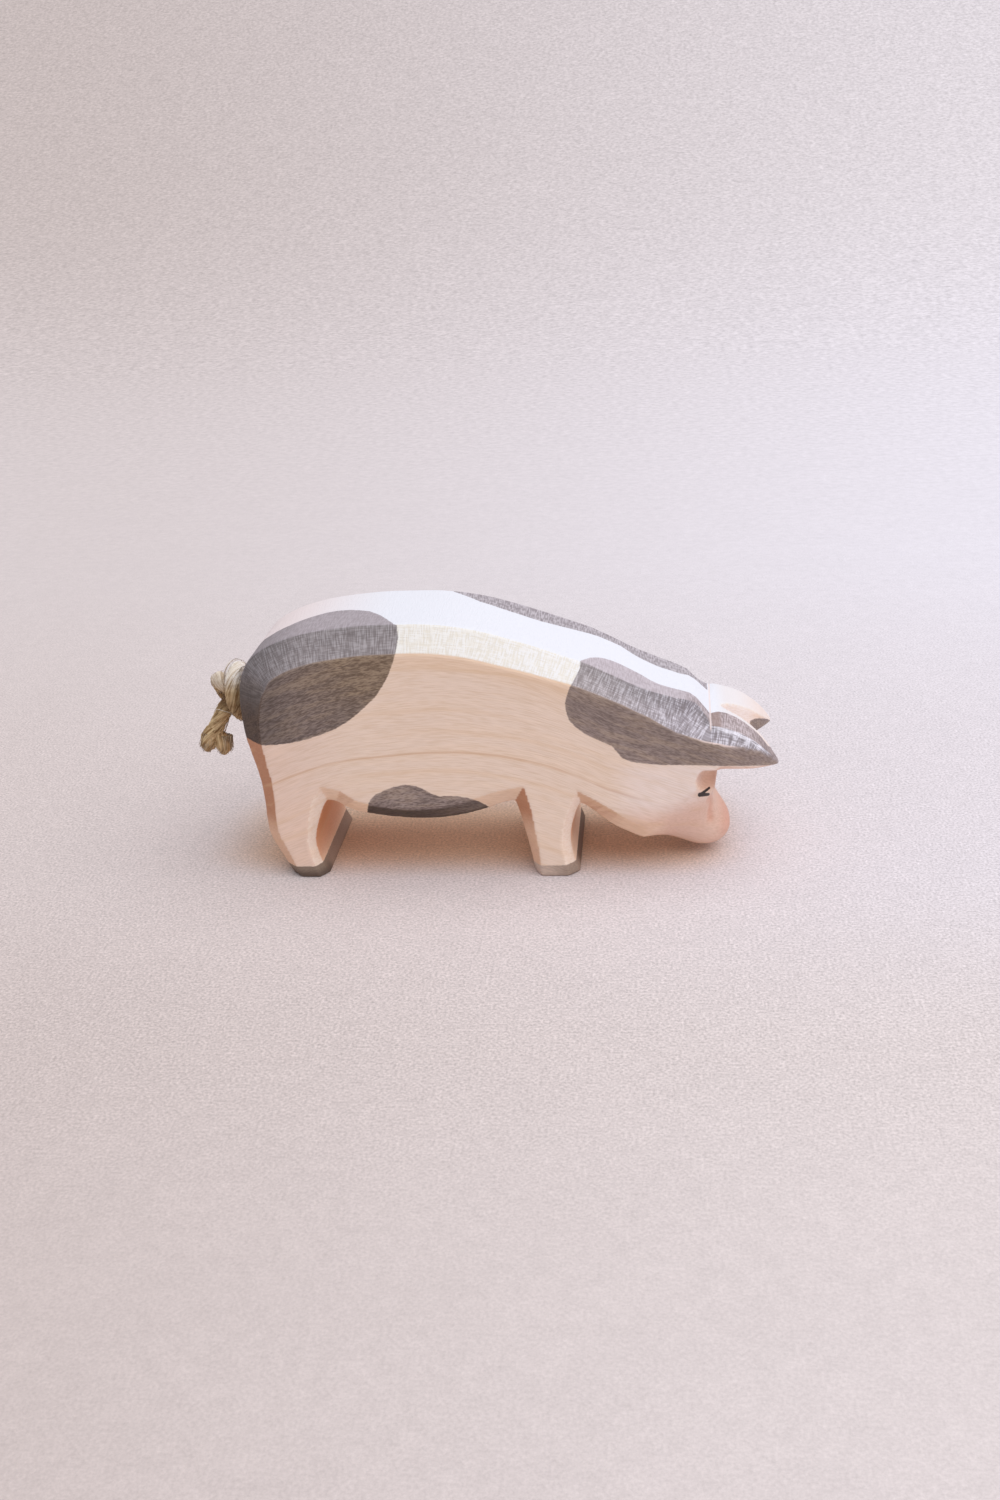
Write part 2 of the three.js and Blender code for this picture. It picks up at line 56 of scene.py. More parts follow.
def add_camera():
    pitch, yaw, roll = (math.radians(a) for a in (CAMERA_DOWN, CAMERA_YAW, CAMERA_ROLL))
    ahead = np.array([math.sin(yaw) * math.cos(pitch), math.cos(yaw) * math.cos(pitch), -math.sin(pitch)])
    level = np.array([math.cos(yaw), -math.sin(yaw), 0.0])
    up = np.cross(level, ahead)
    c, s = math.cos(roll), math.sin(roll)
    right, top = c * level + s * up, c * up - s * level
    data = bpy.data.cameras.new("camera")
    data.sensor_fit, data.lens = "VERTICAL", CAMERA_LENS
    data.sensor_width = data.sensor_height = CAMERA_SENSOR
    data.clip_start, data.clip_end = CAMERA_CLIP
    camera = bpy.data.objects.new("camera", data)
    bpy.context.scene.collection.objects.link(camera)
    columns = np.stack([right, top, -ahead, np.array(CAMERA_PLACE) * MM], axis=1)
    camera.matrix_world = Matrix([list(row) for row in columns] + [[0, 0, 0, 1]])
    bpy.context.scene.camera = camera


# Numbers and shapes
def linear(r, g, b):
    """A colour as seen on a screen, 0 to 255, as Blender's own linear one."""
    return tuple(((v / 255 + 0.055) / 1.055) ** 2.4 if v > 10.3 else v / 255 / 12.92 for v in (r, g, b))


def smooth(value, low, high):
    """0 up to low, rising smoothly to 1 at high."""
    t = np.clip((value - low) / (high - low), 0, 1)
    return t * t * (3 - 2 * t)


def fade(value, full, gone):
    """1 up to full, falling smoothly to 0 at gone."""
    return smooth(-value, -gone, -full)


def bell(value, centre, width):
    """1 at the centre, falling to 0 on both sides."""
    return np.exp(-(((value - centre) / width) ** 2))


def catmull_rom(points, count):
    """Points evenly spaced along the centripetal Catmull-Rom curve through these."""
    steps_between = 24
    rounds = [((0, 1), (1, 2), (2, 3)), ((0, 2), (1, 3)), ((1, 2),)]  # knots that each sum lies between
    p = np.array(points, float)
    p = np.vstack([2 * p[0] - p[1], p, 2 * p[-1] - p[-2]])
    out = []
    for i in range(1, len(p) - 2):
        corners = p[i - 1 : i + 3]
        k = np.cumsum([0, *np.sqrt(np.linalg.norm(np.diff(corners, axis=0), axis=1))])
        for t in np.linspace(k[1], k[2], steps_between, endpoint=i == len(p) - 3):
            sums = corners
            for knots in rounds:
                shares = [(t - k[s]) / (k[e] - k[s]) for s, e in knots]
                sums = [(1 - share) * a + share * b for share, a, b in zip(shares, sums, sums[1:])]
            out.append(sums[0])
    out = np.array(out)
    along = np.concatenate([[0], np.cumsum(np.linalg.norm(np.diff(out, axis=0), axis=1))])
    at = np.linspace(0, along[-1], count)
    return np.stack([np.interp(at, along, out[:, k]) for k in range(3)], axis=1)


def new_mesh(name, points_mm, faces):
    mesh = bpy.data.meshes.new(name)
    mesh.from_pydata([tuple(p) for p in np.asarray(points_mm) * MM], [], [tuple(f) for f in faces])
    mesh.update()
    return mesh


def add_piece(name, mesh, material, body="root"):
    mesh.materials.clear()
    mesh.materials.append(material)
    mesh.shade_smooth()
    piece = bpy.data.objects.new(name, mesh)
    bpy.context.scene.collection.objects.link(piece)
    if body:
        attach(piece, body)
    return piece


# What the value at each point of a mesh is called, by how many numbers it has
KINDS = {1: ("FLOAT", "value"), 3: ("FLOAT_VECTOR", "vector"), 4: ("FLOAT_COLOR", "color")}


def mark(mesh, name, values):
    """Keeps a value at each point of a mesh, for its material to read."""
    kind, field = KINDS[values.size // len(values)]
    mesh.attributes.new(name, kind, "POINT").data.foreach_set(field, values.astype(np.float32).reshape(-1))


class Nodes:
    """A material or world, written with one call for each of its nodes."""

    # The mix node's sockets for its two values and the result, by the kind of value
    MIX_SOCKETS = {"RGBA": (6, 7, 2), "FLOAT": (2, 3, 0)}

    def __init__(self, name, owners=bpy.data.materials):
        self.owner = owners.new(name)
        self.owner.use_nodes = True
        self.tree = self.owner.node_tree
        self.tree.nodes.clear()

    def add(self, kind, inputs=(), **settings):
        node = self.tree.nodes.new(kind)
        for key, value in settings.items():
            setattr(node, key, value)
        for key, value in dict(inputs).items():
            socket = node.inputs[key]
            if isinstance(value, bpy.types.NodeSocket):
                self.tree.links.new(value, socket)
            elif value is not None:
                socket.default_value = (*linear(*value), 1) if socket.type == "RGBA" else value
        return node

    def math(self, operation, a, b=None, c=None, clamp=False):
        return self.add("ShaderNodeMath", {0: a, 1: b, 2: c}, operation=operation, use_clamp=clamp).outputs[0]

    def minus(self, a, b):
        return self.math("SUBTRACT", a, b)

    def muladd(self, value, factor, more, clamp=False):
        return self.math("MULTIPLY_ADD", value, factor, more, clamp)

    def product(self, value, *factors):
        for factor in factors:
            value = self.math("MULTIPLY", value, factor)
        return value

    def vector(self, operation, a, b=None):
        node = self.add("ShaderNodeVectorMath", {0: a, 1: b}, operation=operation)
        return node.outputs["Value" if operation in ("DOT_PRODUCT", "LENGTH") else "Vector"]

    def scaled(self, vector, factor):
        inputs = {0: vector, "Scale": factor}
        return self.add("ShaderNodeVectorMath", inputs, operation="SCALE").outputs["Vector"]

    def joined(self, x, y, z):
        return self.add("ShaderNodeCombineXYZ", {0: x, 1: y, 2: z}).outputs[0]

    def ease(self, value, low, high, to_low=0.0, to_high=1.0):
        """Smoothly from to_low at low to to_high at high."""
        inputs = {"Value": value, "From Min": low, "From Max": high, "To Min": to_low, "To Max": to_high}
        return self.add("ShaderNodeMapRange", inputs, interpolation_type="SMOOTHSTEP").outputs["Result"]

    def mix(self, factor, a, b, kind="RGBA"):
        """A mix of two numbers or colours; a colour is a node's, or given as seen on a screen."""
        first, second, result = self.MIX_SOCKETS[kind]
        return self.add("ShaderNodeMix", {0: factor, first: a, second: b}, data_type=kind).outputs[result]

    def noise(self, vector, scale, detail, roughness=0.5):
        """Noise of so many features per mm: one number, or one for each direction."""
        if isinstance(scale, tuple):
            vector, scale = self.vector("MULTIPLY", vector, scale), 1.0
        inputs = {"Vector": vector, "Scale": scale, "Detail": detail, "Roughness": roughness}
        return self.add("ShaderNodeTexNoise", inputs).outputs["Fac"]

    def attribute(self, name, output="Fac"):
        return self.add("ShaderNodeAttribute", attribute_name=name).outputs[output]

    def position(self):
        """The place on the piece, in mm."""
        return self.scaled(self.add("ShaderNodeTexCoord").outputs["Object"], 1 / MM)

    def split(self, vector):
        return self.add("ShaderNodeSeparateXYZ", {0: vector}).outputs

    def around(self, noise, amount):
        """Noise as a factor round 1."""
        return self.muladd(noise, amount, 1 - amount / 2)

    def around_by(self, noise, amount):
        """The same, where the amount comes from a node."""
        return self.muladd(self.minus(noise, 0.5), amount, 1.0)

    def finish(self, inputs, height=None, depth_mm=0.1):
        if height is not None:
            bump = self.add("ShaderNodeBump", {"Height": height, "Distance": depth_mm * MM, "Strength": 1.0})
            inputs["Normal"] = bump.outputs[0]
        shader = self.add("ShaderNodeBsdfPrincipled", inputs)
        self.add("ShaderNodeOutputMaterial", {"Surface": shader.outputs[0]})
        return self.owner


# The tail: a rope of loosely twisted fibres that leaves its hole, ties one knot and hangs down
ROPE_DIAMETER = 4.2
ROPE_LENGTH = 77.4
EXIT = (-59.234, 0.0, 41.2)
IN_HOLE = [(-49.234, 0, 41.2), (-54.234, 0, 41.2)]
# From the exit: out, across and up
ROUTE = [
    (0, 0, 0), (3, -1.4, 0), (5.4, -1.7, 0.3), (7.9, 0.6, 1), (9.1, 3.5, -0.8), (8.1, 5, -4.1),
    (5.5, 4, -6.7), (3.6, 0.8, -7.2), (3.5, -2.2, -5.5), (3.5, -4.9, -2.7), (3.4, -5.7, 0.6), (3.5, -4, 3.7),
    (3.4, -0.8, 4.5), (3.3, 2.3, 2.4), (3.9, 2.8, -0.9), (5.5, 1.1, -3.2), (7.4, 0.1, -5.8), (9.2, 0, -9),
    (10.5, 0.1, -12.4), (11.2, 0, -15.9),
]
# Shares of the length, and of the diameter there
ROPE_GIRTH = [
    (0, 1), (0.085, 1), (0.125, 0.9), (0.85, 0.88), (0.9, 0.9), (0.93, 0.92), (0.96, 0.8), (0.985, 0.5),
    (1, 0.2),
]
PATH_POINTS = 40
RINGS, SIDES = 440, 40
ROPE_TURNS = 3.2
STRANDS, STRAND_DEPTH, FIBRE_DEPTH = 3, 0.045, 0.11  # how far they stand out, as shares of the radius
CREVICE = (1.7, 2.75)  # from another turn's middle: all shade, and open
OTHER_TURN = 7  # mm along the rope, from where on it is another turn
# Where the rope passes under the knot: mm along it, half width and strength of the shade
UNDER_KNOT = [(64.6, 1.7, 0.85), (40, 3.6, 0.4)]
# Two tufts: shifted aside by, radius, turned by, and where along the rope they part
TUFTS = [((-1.15, -0.5, -0.3), 1.95, 1.0, 0.89), ((2.55, -0.1, -1.3), 1.9, 4.0, 0.925)]
TUFT_START, TUFT_ROUNDING, TUFT_END = 0.875, 0.955, 1.0005
# The brush of fibres at each tuft's end, shifted aside by
BRUSHES = [(-1.65, -0.5, -0.3), (2.0, -0.1, -1.2)]
BRUSH_RADIUS, BRUSH_FIBRES = 1.65, 190
SHORT_FIBRES, DARK_FIBRES = 230, 26
CROSSING_FIBRE = ((-70.2, -1.6, 36.2), (-61.6, -3.2, 34.2))


def rope_line(count):
    outside = [(EXIT[0] - out, across, EXIT[2] + up) for out, across, up in ROUTE]
    return catmull_rom([*IN_HOLE, *outside], count)


def crosswise(line):
    """Two crosswise directions at each point of a line, which turn as little as they can."""
    tangents = np.gradient(line, axis=0)
    tangents /= np.linalg.norm(tangents, axis=1)[:, None]
    side = np.cross(tangents[0], [0, 1, 0])
    sides = []
    for t in tangents:
        side = side - t * (side @ t)
        side /= np.linalg.norm(side)
        sides.append(side)
    sides = np.array(sides)
    return sides, np.cross(tangents, sides)


def angles_round(sides):
    return np.arange(sides) * 2 * math.pi / sides


def capped(values):
    """Values at a tube's rings, with the first and last again for the middles of its ends."""
    return np.concatenate([values, values[:1], values[-1:]])


def tube(line, radii, sides):
    """Points and faces of a closed tube, whose radius may differ at every point of every ring."""
    u, v = crosswise(line)
    angles = angles_round(sides)[None, :, None]
    rings = line[:, None] + radii[:, :, None] * (np.cos(angles) * u[:, None] + np.sin(angles) * v[:, None])
    points = np.vstack([rings.reshape(-1, 3), line[:1], line[-1:]])
    count, faces = len(line), []
    for i in range(count - 1):
        for j in range(sides):
            k = (j + 1) % sides
            faces.append((i * sides + j, i * sides + k, (i + 1) * sides + k, (i + 1) * sides + j))
    start, end = count * sides, count * sides + 1
    for j in range(sides):
        k = (j + 1) % sides
        faces += [(start, k, j), (end, start - sides + j, start - sides + k)]
    return points, faces


class Bundle:
    """Tubes gathered into one piece, with what the rope's material reads at their points."""

    def __init__(self):
        self.tubes, self.fibre, self.groove, self.highlight_and_pale_fibre = [], [], [], []

    def add(self, points, faces, fibre, groove, highlight_and_pale_fibre):
        self.tubes.append((points, faces))
        self.fibre.append(fibre)
        self.groove.append(np.broadcast_to(groove, len(points)))
        self.highlight_and_pale_fibre.append(np.broadcast_to(highlight_and_pale_fibre, len(points)))

    def piece(self, name, material):
        faces, first = [], 0
        for points, own_faces in self.tubes:
            faces += [tuple(first + i for i in face) for face in own_faces]
            first += len(points)
        mesh = new_mesh(name, np.vstack([points for points, _ in self.tubes]), faces)
        mark(mesh, "fibre", np.vstack(self.fibre))
        mark(mesh, "groove", np.concatenate(self.groove))
        mark(mesh, "highlight_and_pale_fibre", np.concatenate(self.highlight_and_pale_fibre))
        return add_piece(name, mesh, material)


def hemp():
    n = Nodes("hemp_rope")
    fibre = n.attribute("fibre", "Vector")
    strands = n.noise(fibre, (1.5, 1.5, 0.16), detail=3, roughness=0.6)
    fine = n.noise(fibre, (4.4, 4.4, 0.3), detail=2)
    blotch = n.noise(n.position(), 0.5, detail=2)
    height = n.math("ADD", n.product(strands, 0.6), n.product(fine, 0.4))
    shade = n.muladd(blotch, 0.2, n.product(height, 0.8))
    # A painted highlight whitens the knot's outer turn and the top of the knot, and some loose fibres are
    # pale of their own; the hanging end keeps its straw colour
    pale = n.mix(n.ease(shade, 0.38, 0.6), (217, 201, 181), (252, 247, 243))
    straw = n.mix(n.ease(shade, 0.38, 0.62), (140, 106, 66), (224, 198, 156))
    colour = n.mix(n.attribute("highlight_and_pale_fibre"), straw, pale)
    # Painted shade: dark brown between the rope's turns and under the knot; the same value makes some loose
    # fibres darker
    colour = n.mix(n.attribute("groove"), (92, 62, 38), colour)
    return n.finish({"Base Color": colour, "Roughness": 0.78, "Specular IOR Level": 0.25}, height, 0.2)


def knot_highlight(height, along):
    """Painted highlight, as how white the rope is: the knot's outer turn most, the rest of the knot a little
    and only on top.
    """
    turn = smooth(along, 45, 48.5) * fade(along, 57, 61)
    return np.maximum(turn, 0.6 * smooth(height, 39.5, 43) * fade(along, 40, 44))


def openness(points, line, own):
    """1 in the open and 0 deep between two turns of the rope, where shade is painted; own says how far along
    it each point is.
    """
    at = np.linspace(0, ROPE_LENGTH, len(line))
    least = np.full(len(points), FAR_OFF)
    for i in range(0, len(line), 3):
        other = np.abs(at[i] - own) > OTHER_TURN
        least = np.where(other, np.minimum(least, np.linalg.norm(points - line[i], axis=1)), least)
    shade = sum(strength * bell(own, middle, width) for middle, width, strength in UNDER_KNOT)
    return smooth(least, *CREVICE) * (1 - shade)


def add_tail():
    material = hemp()
    line = rope_line(RINGS)
    at = np.linspace(0, 1, RINGS)
    girth = ROPE_DIAMETER * np.interp(at, *zip(*ROPE_GIRTH))
    turn = FULL_TURN * ROPE_TURNS * at
    angles = angles_round(SIDES)[None]
    rng = np.random.default_rng(4)
    bundle = Bundle()

    def add(points, faces, ring_at, own_angles, girths):
        radius = girths[:, None] / 2
        along = np.broadcast_to(ring_at[:, None] * ROPE_LENGTH, own_angles.shape)
        own = np.stack([radius * np.cos(own_angles), radius * np.sin(own_angles), along], axis=2)
        own = capped(own.reshape(-1, 3))
        bundle.add(points, faces, own, openness(points, line, own[:, 2]), knot_highlight(points[:, 2], own[:, 2]))

    # One bundle of loosely twisted fibres, with three soft strands in it
    own_angles = angles - turn[:, None]
    rough = rng.normal(0, 1, (RINGS, SIDES))
    for _ in range(3):
        rough = sum([rough, *(np.roll(rough, step, axis) for axis in (0, 1) for step in (1, -1))]) / 5
    relief = 1 - STRAND_DEPTH + STRAND_DEPTH * np.cos(STRANDS * own_angles) + FIBRE_DEPTH * rough
    # Its end hangs a little further out than the CAD's route, and one turn of the knot lower
    shift = smooth(at, 0.86, 0.97)[:, None] * np.array([-0.5, 0, 0])
    shift = shift + bell(at * ROPE_LENGTH, 51.5, 3.2)[:, None] * np.array([0.2, 0, -0.7])
    add(*tube(line + shift, girth[:, None] / 2 * relief, SIDES), at, own_angles, girth)
    # At the end it parts into two tufts
    first = int(TUFT_START * RINGS)
    part = at[first:]
    for aside, wide, spin, opens in TUFTS:
        apart = smooth(part, opens, 0.985)[:, None]
        centre = line[first:] + shift[first:] + apart * np.array(aside)
        swell = 0.66 + 0.42 * smooth(part, opens, 0.965)
        rounding = ((part - TUFT_ROUNDING) / (TUFT_END - TUFT_ROUNDING)) ** 2 * (part > TUFT_ROUNDING)
        swell = swell * np.sqrt(np.clip(1 - rounding, 0.12, 1))
        tuft_angles = angles - turn[first:, None] + spin
        lumps = 0.05 * np.cos(5 * tuft_angles) + 0.1 * rough[first:]
        made = tube(centre, wide * swell[:, None] * (0.95 + lumps), SIDES)
        add(*made, part, tuft_angles, np.full(len(part), 2 * wide))
    rope = bundle.piece("rope_tail", material)
    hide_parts("tail_cord")
    strays = add_fibres(line, girth, material)
    [tuple(p * MM) for p in rope_line(PATH_POINTS)]


def add_fibres(line, girth, material):
    """Loose hemp fibres: short ones all over, dark ones round the knot and a brush of them at each tuft."""
    u, v = crosswise(line)
    rng = np.random.default_rng(11)
    bundle = Bundle()

    def hair(curve, thick, light, pale):
        sides = 4
        radii = np.repeat((thick * np.linspace(1, 0.45, len(curve)))[:, None], sides, axis=1)
        along = np.repeat(np.linspace(0, 4, len(curve)), sides)
        aside = np.full_like(along, rng.uniform(0, 40))
        own = np.stack([aside, along * 0, along + rng.uniform(0, 90)], axis=1)
        bundle.add(*tube(curve, radii, sides), capped(own), light, pale)

    def on_rope(first, span, angle, turn, lift, rise):
        """A curve round the rope, from lift times its girth out and rising by rise over its span of rings."""
        j = np.arange(first, min(first + span, len(line) - 1))
        angles = angle + (j - first) * turn
        reach = np.maximum(girth[j], 3.4) * (lift + rise * ((j - first) / span) ** 2)
        return line[j] + (reach * np.cos(angles))[:, None] * u[j] + (reach * np.sin(angles))[:, None] * v[j]

    for _ in range(SHORT_FIBRES):
        i, span = int(rng.uniform(0.16, 0.93) * len(line)), int(rng.uniform(12, 34))
        angle, turn = rng.uniform(0, FULL_TURN), rng.uniform(0.02, 0.1)
        curve = on_rope(i, span, angle, turn, rng.uniform(0.49, 0.515), rng.uniform(0, 0.12))
        pale = float(knot_highlight(line[i, 2], ROPE_LENGTH * i / len(line)))
        hair(curve, rng.uniform(0.04, 0.08), rng.choice([0.45, 0.8, 1.0]), pale)
    for _ in range(DARK_FIBRES):
        i, span = int(rng.uniform(0.2, 0.72) * len(line)), int(rng.uniform(30, 60))
        curve = on_rope(i, span, rng.uniform(0, FULL_TURN), rng.uniform(-0.03, 0.05), 0.5, 0.04)
        hair(curve, 0.055, 0.05, 0.0)
    down = line[-1] - line[-30]
    down /= np.linalg.norm(down)
    for centre in BRUSHES:
        root = line[-28] + np.array(centre)
        for _ in range(BRUSH_FIBRES):
            angle, off = rng.uniform(0, FULL_TURN), BRUSH_RADIUS * math.sqrt(rng.uniform(0.02, 1))
            across = u[-10] * math.cos(angle) * off + v[-10] * math.sin(angle) * off
            long = rng.uniform(3.6, 5.3) * (1 - 0.3 * (off / BRUSH_RADIUS) ** 2)
            steps = np.linspace(0, 1, 7)[:, None]
            wave = rng.normal(0, 0.18, 3) * np.sin(steps * 3)
            curve = root + across * (1 + 0.34 * steps**1.5) + down * long * steps + wave * steps
            hair(curve, rng.uniform(0.045, 0.09), rng.choice([0.3, 0.65, 1.0]), 0.25)
    # One long pale fibre arches across the hanging end
    steps = np.linspace(0, 1, 14)[:, None]
    start, end = np.array(CROSSING_FIBRE)
    curve = start + (end - start) * steps + np.sin(steps * math.pi) * np.array([0, -1.6, 1.1])
    hair(curve, 0.08, 1.0, 1.0)
    return bundle.piece("rope_fibres", material)


# The body's spots of stain: outlines on its side, (x, z), and on its top, (x, y)
RUMP_SIDE = [
    (-70, 33.6), (-58.1, 33.5), (-56.2, 33.1), (-54.2, 33), (-51.3, 33), (-47.8, 33.4), (-44.4, 34.1),
    (-40.9, 35.2), (-37.4, 36.6), (-34.6, 38.2), (-32.2, 40), (-30.1, 41.9), (-27.9, 43.9), (-26.2, 46.2),
    (-24.6, 48.9), (-23.6, 51.2), (-22.8, 53.5), (-22.4, 55.2), (-22.2, 56.8), (-22.5, 57.9), (-23, 70),
    (-70, 70),
]
RUMP_TOP = [
    (-90, -2.2), (-55.6, -1.9), (-53.3, -2.9), (-51, -2.4), (-48.7, -2.2), (-46.5, -1.2), (-44.3, -0.6),
    (-42.1, -0.1), (-39.9, 0.4), (-37.6, 0.5), (-35.2, -0.1), (-32.7, -1.2), (-30.1, -2.8), (-27.4, -5.8),
    (-25, -9.6), (-23.2, -12.6), (-22.5, -20), (-90, -20),
]
HEAD_SIDE = [
    (80, 25), (59, 25.2), (58.1, 25.6), (52.6, 26.4), (41.9, 26.9), (33.3, 27.1), (29, 27.6), (26.8, 28),
    (25.1, 28.9), (24.1, 30.3), (23, 31.7), (20.5, 32.9), (17.3, 34.6), (15.2, 36.3), (13.9, 37.9),
    (13.4, 39.8), (13.2, 41.8), (13.7, 43.7), (14.4, 45.5), (15.5, 47), (16.5, 48.6), (18, 70), (80, 70),
]
HEAD_TOP = [
    (14, -20), (16.5, -12.5), (17.5, -10.2), (18.5, -8.1), (20.5, -5.3), (22.6, -4), (24.8, -3.4), (27, -3.6),
    (29.2, -4.1), (31.3, -5.5), (33.5, -6.2), (35.7, -6.2), (37.9, -5.8), (40.1, -5.4), (41.6, -5.1),
    (42.9, -5.8), (44.2, -6.3), (45, -5.6), (46.3, -4.5), (48.2, -4.3), (49.3, -4.8), (50.6, -5.3),
    (52.1, -6.1), (53.3, -6.9), (54.5, -7.6), (55.5, -8.4), (56.4, -9.6), (57.5, -11), (58.5, -12.5),
    (62, -20),
]
FAR_TOP = [
    (-15.5, 20), (-13.7, 12.5), (-12.9, 11.6), (-6.7, 7.1), (-2.1, 5.7), (2.4, 5.1), (6.9, 4.8), (11.3, 5.8),
    (15.7, 6.8), (20.1, 8.1), (24.6, 8.7), (29.1, 6.3), (33.6, 5.1), (38.1, 4.9), (41.9, 6.6), (44.3, 7.6),
    (44.6, 20),
]
FAR_SIDE = [
    (-15.5, 70), (-14.2, 57), (-13, 51), (-9.6, 44.6), (-4, 39.6), (3, 36.2), (10, 34.4), (18, 33.6),
    (26, 34.2), (33, 34), (39, 34.6), (43.2, 35.4), (44.2, 36), (44.6, 70),
]
BELLY_SIDE = [
    (-33.2, 13), (-31.7, 18.1), (-31.1, 19.4), (-29.9, 20.6), (-27.5, 21.8), (-25.2, 22.6), (-23, 23),
    (-20.7, 22.7), (-18.6, 21.7), (-17.1, 20.7), (-15.3, 20.1), (-13.1, 20.2), (-10.9, 20), (-9.1, 19.7),
    (-7.2, 18.8), (-5.8, 17.5), (-4.6, 16.2), (-4, 10), (-20, 4),
]
# The dark patch at the foot of the far ear's inner wall, partly stain and partly painted shade: its upper
# limit, (x, z)
FOOT_LINE = [(53.8, 28.5), (54.9, 28.6), (56.1, 28.2), (58.1, 26.9), (58.9, 25.9)]
# The back's own outline from behind over the top to the ears' tips, (x, z)
BACK_LINE = [
    (-57.1, 28.4), (-58.2, 33), (-59, 37), (-59.2, 41), (-59, 44.5), (-58.4, 47.6), (-56.9, 50.6),
    (-54.2, 53.2), (-49.3, 55.6), (-44.2, 57.1), (-39.4, 58), (-30.7, 58.9), (-22.7, 59), (-14.7, 58.7),
    (-5.7, 57.3), (4.2, 54.3), (13.3, 51), (18, 49.2), (22.6, 46.9), (27.3, 44.4), (32.3, 42.2), (36.6, 40.7),
    (39.9, 39.5), (42.9, 36.6), (44.5, 34.8), (48.6, 33.9), (53.3, 31.6), (57.9, 27.4), (59.2, 25.7),
]
# How far across the bevel goes: x, and mm in from the flank
BEVEL_DEPTH = [
    (-60, 4.3), (20.8, 4.3), (31.3, 4.7), (36.8, 5.5), (39.85, 6.8), (41.1, 8.0), (42.2, 7.8), (43.5, 5.8),
    (44.45, 3.6), (46.8, 3.4), (51.2, 3.0), (54.2, 2.8), (62, 2.8),
]
CHEEK_VALLEY = [(44.3, -11.6, 16.6), (45.0, -8.2, 14.2), (44.6, -8.4, 12.3), (44.7, -8.3, 10.2)]
FINE_MESH, SANDING = 0.42, 3  # mm, and rounds
EARS_FROM, EARS_ABOVE = 44.2, 24


def to_segment(points, a, b):
    """The nearest place to each point from a to b, as a share of the way, and how far it is."""
    a, b = np.array(a, float), np.array(b, float)
    t = np.clip((points - a) @ (b - a) / ((b - a) @ (b - a)), 0, 1)
    return t, np.linalg.norm(points - a - t[:, None] * (b - a), axis=1)


def inside(points, outline):
    """How far points lie inside an outline, in mm; less than 0 outside it."""
    best, within = np.full(len(points), FAR_OFF), np.zeros(len(points), bool)
    for (ax, ay), (bx, by) in zip(outline, outline[1:] + outline[:1]):
        best = np.minimum(best, to_segment(points, (ax, ay), (bx, by))[1])
        if ay != by:
            crosses = (ay > points[:, 1]) != (by > points[:, 1])
            within ^= crosses & (points[:, 0] < ax + (points[:, 1] - ay) * (bx - ax) / (by - ay))
    return np.where(within, best, -best)


def along_line(points, line):
    """How far along a line of (x, z) each point's nearest place on it is, and how far it is from it."""
    best, place, start = np.full(len(points), FAR_OFF), np.zeros(len(points)), 0.0
    for a, b in zip(line[:-1], line[1:]):
        long = math.dist(a, b)
        t, far = to_segment(points, a, b)
        place = np.where(far < best, start + t * long, place)
        best = np.minimum(best, far)
        start += long
    return place, best


def near_line(points, line, radius):
    """1 on a line of points in space, falling to 0 a few radii away, and the same on the far side."""
    folded = points * [1, 0, 1] - np.abs(points) * [0, 1, 0]
    best = np.minimum.reduce([to_segment(folded, a, b)[1] for a, b in zip(line[:-1], line[1:])])
    return bell(best, 0, radius)


def body_mesh():
    """The CAD body as a fine even mesh, its edges eased as sandpaper leaves them."""
    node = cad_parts["carved_body"]
    source = bpy.data.objects.new("source", node.data.copy())
    bpy.context.scene.collection.objects.link(source)
    remesh = source.modifiers.new("even", "REMESH")
    remesh.mode, remesh.voxel_size, remesh.adaptivity = "VOXEL", FINE_MESH * MM, 0.0
    sanded = source.modifiers.new("sanded", "SMOOTH")
    sanded.factor, sanded.iterations = 0.5, SANDING
    bpy.context.view_layer.update()
    mesh = bpy.data.meshes.new_from_object(source.evaluated_get(bpy.context.evaluated_depsgraph_get()))
    bpy.data.objects.remove(source)
    return mesh


def read(rows, name, width, kind=np.float32):
    values = np.zeros(len(rows) * width, kind)
    rows.foreach_get(name, values)
    return values.reshape(-1, width)


def mesh_normals(mesh):
    return read(mesh.vertex_normals, "vector", 3).astype(float)


def eased(values, edges, weight, rounds):
    """Values drawn towards the mean of their neighbours', by weight, round after round."""
    count = len(values)
    a, b = edges.T
    many = np.bincount(a, minlength=count) + np.bincount(b, minlength=count)
    for _ in range(rounds):
        total = [np.bincount(a, column[b], count) + np.bincount(b, column[a], count) for column in values.T]
        values = values + weight[:, None] * (np.stack(total, axis=1) / many[:, None] - values)
    return values


def cad_normals(points):
    """The CAD body's nearest face normal at each point."""
    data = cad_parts["carved_body"].data
    tree = BVHTree.FromPolygons([v.co for v in data.vertices], [tuple(p.vertices) for p in data.polygons])
    return np.array([tree.find_nearest(Vector(p * MM))[1] for p in points])


def strip_edge(x, z):
    """How far from the middle the flat top's edge lies: nearest the middle behind the ears."""
    deep = np.interp(x, *zip(*BEVEL_DEPTH))
    deep = np.where((z < 36) & (x < -40), 2.4 + 1.9 * smooth(z, 24, 36), deep)
    return HALF_THICK - deep


def carve(points, edges, normals):
    """Sands cheeks, legs and soles softer, and cuts the cheek valleys and the line behind the ears."""
    x, _, z = points.T
    points = eased(points, edges, 0.5 * smooth(x, 29, 35) * fade(z, 17.5, 20.5), 46)
    points = eased(points, edges, 0.5 * fade(z, 22, 28) * fade(x, 34, 40), 2)
    points = eased(points, edges, 0.5 * fade(points[:, 2], 0.9, 1.6), 4)
    points[:, 2] = np.maximum(points[:, 2], 0)
    points = points - normals * (0.5 * near_line(points, CHEEK_VALLEY, 1.1))[:, None]
    cut = bell(points[:, 0], 44.3 + 0.02 * (points[:, 1] + 13), 0.36)
    points[:, 2] -= 0.24 * cut * (points[:, 2] > 32.5) * (normals[:, 2] > 0.4)
    return points


